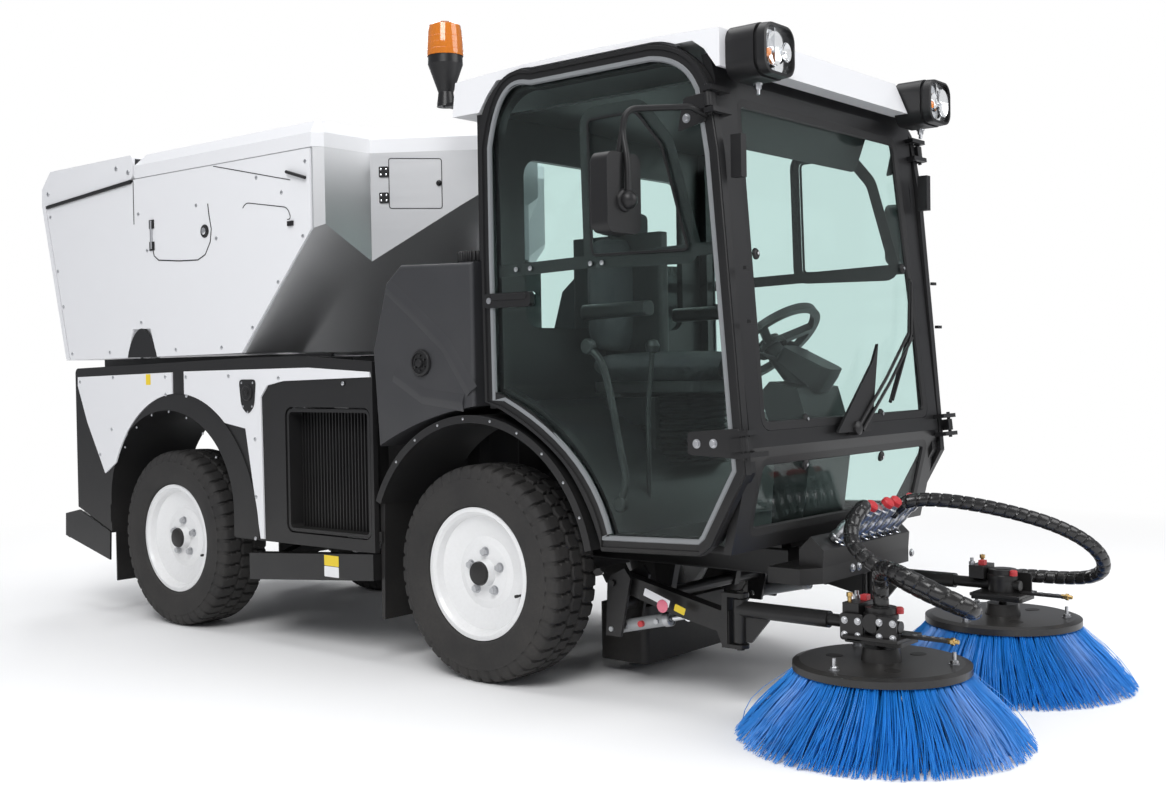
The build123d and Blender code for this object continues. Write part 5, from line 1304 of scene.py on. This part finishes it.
HOSE_ROUTES = {
    "right": [
        (1.6406, -0.182, 0.5602), (1.670, -0.182, 0.5904), (1.700, -0.206, 0.612), (1.716, -0.256, 0.610),
        (1.714, -0.306, 0.578), (1.722, -0.340, 0.528), (1.778, -0.360, 0.484), (1.868, -0.378, 0.446),
        (1.972, -0.396, 0.410), (2.070, -0.418, 0.386), (2.140, -0.452, 0.380), (2.172, -0.515, 0.398),
        (2.142, -0.572, 0.428), (2.072, -0.590, 0.462), (1.996, -0.572, 0.484), (1.924, -0.522, 0.490),
        (1.880, -0.464, 0.470), (1.860, -0.420, 0.425), (1.860, -0.420, 0.362)],
    "left": [
        (1.6406, 0.078, 0.5602), (1.673, 0.078, 0.5935), (1.716, 0.104, 0.606), (1.786, 0.152, 0.604),
        (1.876, 0.218, 0.586), (1.968, 0.292, 0.558), (2.050, 0.368, 0.522), (2.112, 0.440, 0.476),
        (2.146, 0.510, 0.420), (2.136, 0.572, 0.362), (2.080, 0.612, 0.328), (2.004, 0.616, 0.318),
        (1.936, 0.604, 0.318), (1.886, 0.580, 0.321), (1.860, 0.540, 0.325), (1.860, 0.480, 0.325)],
}


class SWEEPER_OT_hoses(bpy.types.Operator):
    """Hose bundles in spiral wrap, from the quick couplers to the brush motors"""
    bl_idname = "sweeper.hoses"
    bl_label = "Hoses"

    def execute(self, context):
        for side_name, route in HOSE_ROUTES.items():
            curve = bpy.data.curves.new("hose_line", "CURVE")
            curve.dimensions = "3D"
            curve.resolution_u = 24
            spline = curve.splines.new("NURBS")
            spline.points.add(len(route) - 1)
            for point, place in zip(spline.points, route):
                point.co = (*place, 1.0)
            spline.order_u = 3
            spline.use_endpoint_u = True
            holder = bpy.data.objects.new("hose_line", curve)
            line_mesh = bpy.data.meshes.new_from_object(holder)
            line = vertex_places(line_mesh)
            bpy.data.objects.remove(holder)
            bpy.data.meshes.remove(line_mesh)
            run = np.concatenate([[0], np.cumsum(np.linalg.norm(np.diff(line, axis=0), axis=1))])
            along = np.arange(0, run[-1], 0.0035)
            path = np.stack([np.interp(along, run, line[:, k]) for k in range(3)], 1)
            path[-1] = line[-1]
            # the wrap: the radius steps down in a narrow helical gap between the turns of the band
            tangent = directions(path)
            side = [np.cross(tangent[0], (0, 1, 0))]
            for t in tangent[1:]:
                across = side[-1] - t * np.dot(side[-1], t)
                side.append(across / np.linalg.norm(across))
            side = np.array(side)
            side[0] /= np.linalg.norm(side[0])
            rise = np.cross(tangent, side)
            turn = np.linspace(0, 2 * np.pi, 28, endpoint=False)
            a, s = np.meshgrid(turn, along)
            phase = np.modf(s / 0.034 + a / (2 * np.pi) + 1)[0]
            radius = 0.0215 - 0.0030 * (phase < 0.13) + 0.0006 * np.sin(np.pi * phase)
            grid = (path[:, None] + radius[..., None] * (np.cos(a)[..., None] * side[:, None]
                                                         + np.sin(a)[..., None] * rise[:, None]))
            hose = Surface().grid(grid, closed_v=True, ends=True)
            piece = hose.object(f"hose_bundle_{side_name}", hose_wrap(), "chassis", "hose_black", angle=30)
            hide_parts(f"hose_{side_name}")
            # it is taken off the chassis's body and given none, so it does not follow the arm at the motor
            piece.parent = None
            del piece["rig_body"]
            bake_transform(piece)
        return {"FINISHED"}


class SWEEPER_OT_arm_fittings(bpy.types.Operator):
    """Bolts, brackets, nozzles, blank stickers and reflectors of the brush arms and brush heads"""
    bl_idname = "sweeper.arm_fittings"
    bl_label = "Arm fittings"

    def execute(self, context):
        for side_name, side in SIDES:
            y = side * ARM_Y
            across, up = side_frame(side)
            head, bolts, brass_parts = Surface(), Surface(), Surface()
            # bracket plates beside the motor, and the bar with the nozzle
            for x, z, width, height in ((1.800, 0.308, 0.070, 0.075), (1.905, 0.312, 0.060, 0.070)):
                outline = round_corners([(x - width / 2, z - height / 2), (x + width / 2, z - height / 2),
                                         (x + width / 2, z + height / 2), (x - width / 2, z + height / 2)],
                                         0.010)
                head.plate(on_side(outline, side), (0, y + side * 0.052, 0), across, up, 0.008)
                for sx in (-0.020, 0.020):
                    for sz in (-0.022, 0.018):
                        hexagon(bolts, (x + sx, y + side * 0.060, z + sz), (0, side, 0), 0.0075, 0.006)
            head.block((1.780, y - 0.075, 0.278), (1.945, y + 0.075, 0.288))
            head.block((1.925, y - 0.015, 0.286), (2.060, y + 0.015, 0.294))
            for step in range(4):
                bolts.turned([(0.0065, 0), (0.0065, 0.003), (0, 0.004)], (1.960 + step * 0.026, y, 0.2935),
                             (0, 0, 1), 12)
            brass_parts.turned([(0.008, 0), (0.008, 0.012), (0.011, 0.013), (0.011, 0.022), (0.007, 0.023),
                                (0.006, 0.034), (0, 0.036)], (2.052, y, 0.290), (1, 0, 0), 6)
            brass_parts.turned([(0.006, 0), (0.006, 0.014), (0.009, 0.015), (0.009, 0.026), (0, 0.028)],
                               (1.780, y + side * 0.030, 0.372), (0, 0, 1), 6)
            head.turned([(0.048, 0), (0.048, 0.014), (0.040, 0.020), (0.026, 0.022), (0.026, 0.034),
                         (0, 0.036)],
                        (1.860, y, 0.330), (0, 0, 1), 32)
            head.block((1.765, y - 0.045, 0.330), (1.815, y + 0.045, 0.372))
            bolts.turned([(0.010, 0), (0.010, 0.010), (0.006, 0.011), (0.006, 0.022), (0, 0.023)],
                         (1.770, y - side * 0.030, 0.372), (0, 0, 1), 10)
            body = f"swing_arm_{side_name}"
            head.object(f"brush_head_plates_{side_name}", black_coat(), body, "arm_black", bevel=0.0012)
            bolts.object(f"brush_head_bolts_{side_name}", zinc(), body, "cylinder_grey")
            brass_parts.object(f"nozzles_{side_name}", brass(), body, "cylinder_grey", bevel=0.0006)
            cap = Surface().turned([(0.0125, 0), (0.0125, 0.014), (0.009, 0.018), (0, 0.019)],
                                   (1.905, y - side * 0.020, 0.345), (0, 0, 1), 16)
            cap.block((1.792, y - side * 0.020 - 0.012, 0.372), (1.812, y - side * 0.020 + 0.012, 0.388))
            cap.object(f"brush_head_caps_{side_name}", red_cap(), body, "beacon_amber", bevel=0.001)
            # the disc's three studs with nuts, and the dark slot
            studs, slots = Surface(), Surface()
            for k in range(3):
                turn = 2 * math.pi * (k + 0.15) / 3
                place = (BRUSH_X + 0.195 * math.cos(turn), y + 0.195 * math.sin(turn), 0.2145)
                hexagon(studs, place, (0, 0, 1), 0.011, 0.012)
                studs.turned([(0.0055, 0.010), (0.0055, 0.034), (0, 0.035)], place, (0, 0, 1), 10)
                turn += 0.9
                arc = np.linspace(turn - 0.16, turn + 0.16, 9)
                path = np.stack([BRUSH_X + 0.135 * np.cos(arc), y + 0.135 * np.sin(arc), np.full(9, 0.2152)],
                                1)
                size = np.sqrt(np.clip(1.02 - np.linspace(-1, 1, 9) ** 2, 0.04, 1))
                slots.carried([(-0.024, -0.001), (0.024, -0.001), (0.024, 0.0008), (-0.024, 0.0008)], path,
                              scale=size)
            studs.object(f"disc_studs_{side_name}", zinc(), f"brush_{side_name}", "cylinder_grey")
            slots.object(f"disc_slots_{side_name}", rubber(), f"brush_{side_name}", "disc_black",
                         smooth=False)
            # blank stickers and the reflector on the lift arm
            arm = f"lift_arm_{side_name}"
            low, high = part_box(f"lift_arm_{side_name}")
            face_y = (low[1] if side < 0 else high[1])
            fall = unit((0.94, 0, -0.30))
            for name, maker, start, length, height in (("white", white_paint, (1.085, 0.338), 0.100, 0.024),
                                                       ("yellow", sticker_yellow, (1.200, 0.302), 0.040,
                                                        0.022)):
                sticker = Surface()
                direction = fall if side < 0 else -fall
                spot = np.array((start[0], face_y, start[1])) + fall * length / 2
                sticker.plate(rounded(length, height, 0.003), spot, direction,
                              np.cross(direction, (0, side, 0)) * -1, 0.0006)
                sticker.object(f"arm_sticker_{name}_{side_name}", maker(), arm, "arm_black", smooth=False)
            disc = Surface().turned([(0.020, 0), (0.020, 0.003), (0.017, 0.004), (0, 0.004)],
                                    (1.155, face_y, 0.300), (0, side, 0), 24)
            disc.object(f"arm_reflector_{side_name}", reflector_pink(), arm, "arm_black")
            # the cylinder's end cap, gland and ports
            axis = unit((0.270, 0, 0.063))
            start = np.array((0.945, y, 0.205))
            gland = Surface()
            gland.turned([(0.0205, 0.185), (0.0235, 0.187), (0.0235, 0.206), (0.0205, 0.208)], start, axis,
                         28)
            for along in (0.040, 0.165):
                port = start + axis * along + np.array((0, side * 0.018, 0))
                gland.turned([(0.009, 0), (0.009, 0.010), (0, 0.011)], port, (0, side, 0), 6)
            gland.object(f"cylinder_gland_{side_name}", zinc(), f"lift_barrel_{side_name}", "cylinder_grey")
            cap = Surface().turned([(0.010, 0), (0.010, 0.012), (0, 0.014)],
                                   start + axis * 0.105 + np.array((0, side * 0.019, 0)), (0, side, 0), 14)
            cap.object(f"cylinder_cap_{side_name}", red_cap(), f"lift_barrel_{side_name}", "cylinder_grey")
        return {"FINISHED"}


class SWEEPER_OT_driving_controls(bpy.types.Operator):
    """Steering wheel hub, stalks, gauge pod and armrest lever"""
    bl_idname = "sweeper.driving_controls"
    bl_label = "Driving controls"

    def execute(self, context):
        axis = unit((-0.150, 0, 0.180))
        centre = np.array((1.385, 0, 0.940)) + axis * 0.196
        hub = Surface().turned([(0.052, -0.012), (0.052, 0.006), (0.040, 0.018), (0.018, 0.024), (0, 0.025)],
                               centre, axis, 36)
        hub.object("steering_boss", black_plastic(), "steering_wheel", "wheel_black")
        parts = Surface()
        base = np.array((1.385, 0, 0.940)) + axis * 0.140
        for side in (-1, 1):
            rod(parts, [base, base + np.array((0.010, side * 0.090, 0.012)),
                        base + np.array((0.0, side * 0.165, 0.030))],
                0.006, 8)
        parts.carried(rounded(0.190, 0.110, 0.030), [(1.375, 0, 1.000), (1.405, 0, 1.040), (1.412, 0, 1.055)],
                      up=(0, 1, 0))
        rod(parts, [(1.000, -0.330, 0.60), (1.000, -0.330, 0.90), (1.020, -0.330, 1.08)], 0.009, 8,
            up=(0, 1, 0))
        parts.turned([(0.0, -0.022), (0.018, -0.014), (0.024, 0.004), (0.016, 0.022), (0, 0.027)],
                     (1.022, -0.330, 1.095), (0, 0, 1), 20)
        parts.object("driving_controls", black_plastic(), "chassis", "console_grey", bevel=0.002)
        return {"FINISHED"}


class SWEEPER_OT_stage(bpy.types.Operator):
    """Pale floor and backdrop, soft lamps and the camera at the photograph's place"""
    bl_idname = "sweeper.stage"
    bl_label = "Stage"

    def execute(self, context):
        scene = context.scene
        floor_mesh = bpy.data.meshes.new("floor")
        floor_mesh.from_pydata([(-60, -60, 0), (60, -60, 0), (60, 60, 0), (-60, 60, 0)], [], [(0, 1, 2, 3)])
        floor = bpy.data.objects.new("floor", floor_mesh)
        scene.collection.objects.link(floor)
        paint = bpy.data.materials.new("pale_floor")
        paint.use_nodes = True
        tree = paint.node_tree
        shader = tree.nodes["Principled BSDF"]
        shader.inputs["Roughness"].default_value = 0.9
        place = tree.nodes.new("ShaderNodeTexCoord").outputs["Object"]
        shade = mix_colour(tree, noise(tree, place, 1.5), (0.93, 0.93, 0.93, 1), (0.95, 0.95, 0.95, 1))
        tree.links.new(shade, shader.inputs["Base Color"])
        # far from the sweeper the floor fades into the white backdrop, for rays from the camera
        far = tree.nodes.new("ShaderNodeVectorMath")
        far.operation = "LENGTH"
        tree.links.new(place, far.inputs[0])
        fade = math_node(tree, "DIVIDE", math_node(tree, "SUBTRACT", far.outputs["Value"], 2.6), 3.0, True)
        sight = tree.nodes.new("ShaderNodeLightPath")
        white = tree.nodes.new("ShaderNodeEmission")
        blend = tree.nodes.new("ShaderNodeMixShader")
        seen = math_node(tree, "MAXIMUM", sight.outputs["Is Camera Ray"],
                         sight.outputs["Is Transmission Ray"])
        tree.links.new(math_node(tree, "MULTIPLY", fade, seen), blend.inputs[0])
        tree.links.new(shader.outputs[0], blend.inputs[1])
        tree.links.new(white.outputs[0], blend.inputs[2])
        tree.links.new(blend.outputs[0], tree.nodes["Material Output"].inputs["Surface"])
        floor_mesh.materials.append(paint)
        world = bpy.data.worlds.new("studio")
        world.use_nodes = True
        scene.world = world
        tree = world.node_tree
        sky = tree.nodes["Background"]
        sky.inputs["Color"].default_value = (0.93, 0.95, 1.0, 1)
        sky.inputs["Strength"].default_value = 0.38
        backdrop = tree.nodes.new("ShaderNodeBackground")
        backdrop.inputs["Color"].default_value = (1, 1, 1, 1)
        backdrop.inputs["Strength"].default_value = 1.0
        ray = tree.nodes.new("ShaderNodeLightPath")
        choose = tree.nodes.new("ShaderNodeMixShader")
        seen = math_node(tree, "MAXIMUM", ray.outputs["Is Camera Ray"], ray.outputs["Is Transmission Ray"])
        tree.links.new(seen, choose.inputs[0])
        tree.links.new(sky.outputs[0], choose.inputs[1])
        tree.links.new(backdrop.outputs[0], choose.inputs[2])
        tree.links.new(choose.outputs[0], tree.nodes["World Output"].inputs["Surface"])
        for name, place, size, power in (("key", (3.5, -6.0, 6.5), 4.0, 470),
                                         ("fill", (6.0, 2.0, 4.0), 4.0, 170),
                                         ("top", (-1.0, 0.0, 7.0), 5.0, 210),
                                         ("rim", (-5.0, 4.0, 4.5), 3.0, 150)):
            lamp = bpy.data.lights.new(name, "AREA")
            lamp.size = size
            lamp.energy = power
            light = bpy.data.objects.new(name, lamp)
            scene.collection.objects.link(light)
            direction = np.array((0, 0, 0.9)) - np.array(place)
            light.matrix_world = (Matrix.Translation(place)
                                  @ Vector(direction).to_track_quat("-Z", "Y").to_matrix().to_4x4())
        lens = bpy.data.cameras.new("camera")
        lens.sensor_width = 36.0
        lens.lens = 36.0 * 1344.19 / 1166
        camera = bpy.data.objects.new("camera", lens)
        scene.collection.objects.link(camera)
        azimuth, pitch, roll = math.radians(39.694), math.radians(1.2), math.radians(-0.889)
        look = np.array((-math.sin(azimuth) * math.cos(pitch), math.cos(azimuth) * math.cos(pitch),
                         -math.sin(pitch)))
        right = np.array((math.cos(azimuth), math.sin(azimuth), 0))
        up = np.cross(right, look)
        right2 = math.cos(roll) * right + math.sin(roll) * up
        up2 = -math.sin(roll) * right + math.cos(roll) * up
        place = (3.5929, -3.7792, 1.0327)
        camera.matrix_world = Matrix([[right2[k], up2[k], -look[k], place[k]] for k in range(3)] + [[0, 0, 0,
                                                                                                     1]])
        scene.camera = camera
        scene.view_settings.view_transform = "Standard"
        return {"FINISHED"}


OPERATORS = (
    SWEEPER_OT_finishes, SWEEPER_OT_hoses, SWEEPER_OT_tyres, SWEEPER_OT_wheel_fittings, SWEEPER_OT_brushes,
    SWEEPER_OT_seat, SWEEPER_OT_driving_controls, SWEEPER_OT_hopper, SWEEPER_OT_body,
    SWEEPER_OT_tank_fittings,
    SWEEPER_OT_cab_trim, SWEEPER_OT_windscreen, SWEEPER_OT_lamps, SWEEPER_OT_couplers,
    SWEEPER_OT_arm_fittings,
    SWEEPER_OT_stage)


class SWEEPER_PT_panel(bpy.types.Panel):
    """The sweeper's pieces, each with its own button"""
    bl_idname = "SWEEPER_PT_panel"
    bl_label = "Compact street sweeper"
    bl_space_type = "VIEW_3D"
    bl_region_type = "UI"
    bl_category = "Sweeper"

    def draw(self, context):
        for operator in OPERATORS:
            self.layout.operator(operator.bl_idname)
        for group in (context.scene.sweeper_sizes, context.scene.sweeper_colours):
            for name in group.__annotations__:
                self.layout.prop(group, name)


CLASSES = (SweeperSizes, SweeperColours, *OPERATORS, SWEEPER_PT_panel)


def register():
    for cls in CLASSES:
        bpy.utils.register_class(cls)
    bpy.types.Scene.sweeper_sizes = bpy.props.PointerProperty(type=SweeperSizes)
    bpy.types.Scene.sweeper_colours = bpy.props.PointerProperty(type=SweeperColours)


def unregister():
    del bpy.types.Scene.sweeper_sizes
    del bpy.types.Scene.sweeper_colours
    for cls in reversed(CLASSES):
        bpy.utils.unregister_class(cls)


def main():
    register()
    for operator in OPERATORS:
        group, name = operator.bl_idname.split(".")
        getattr(getattr(bpy.ops, group), name)()


if __name__ == "__main__":
    main()
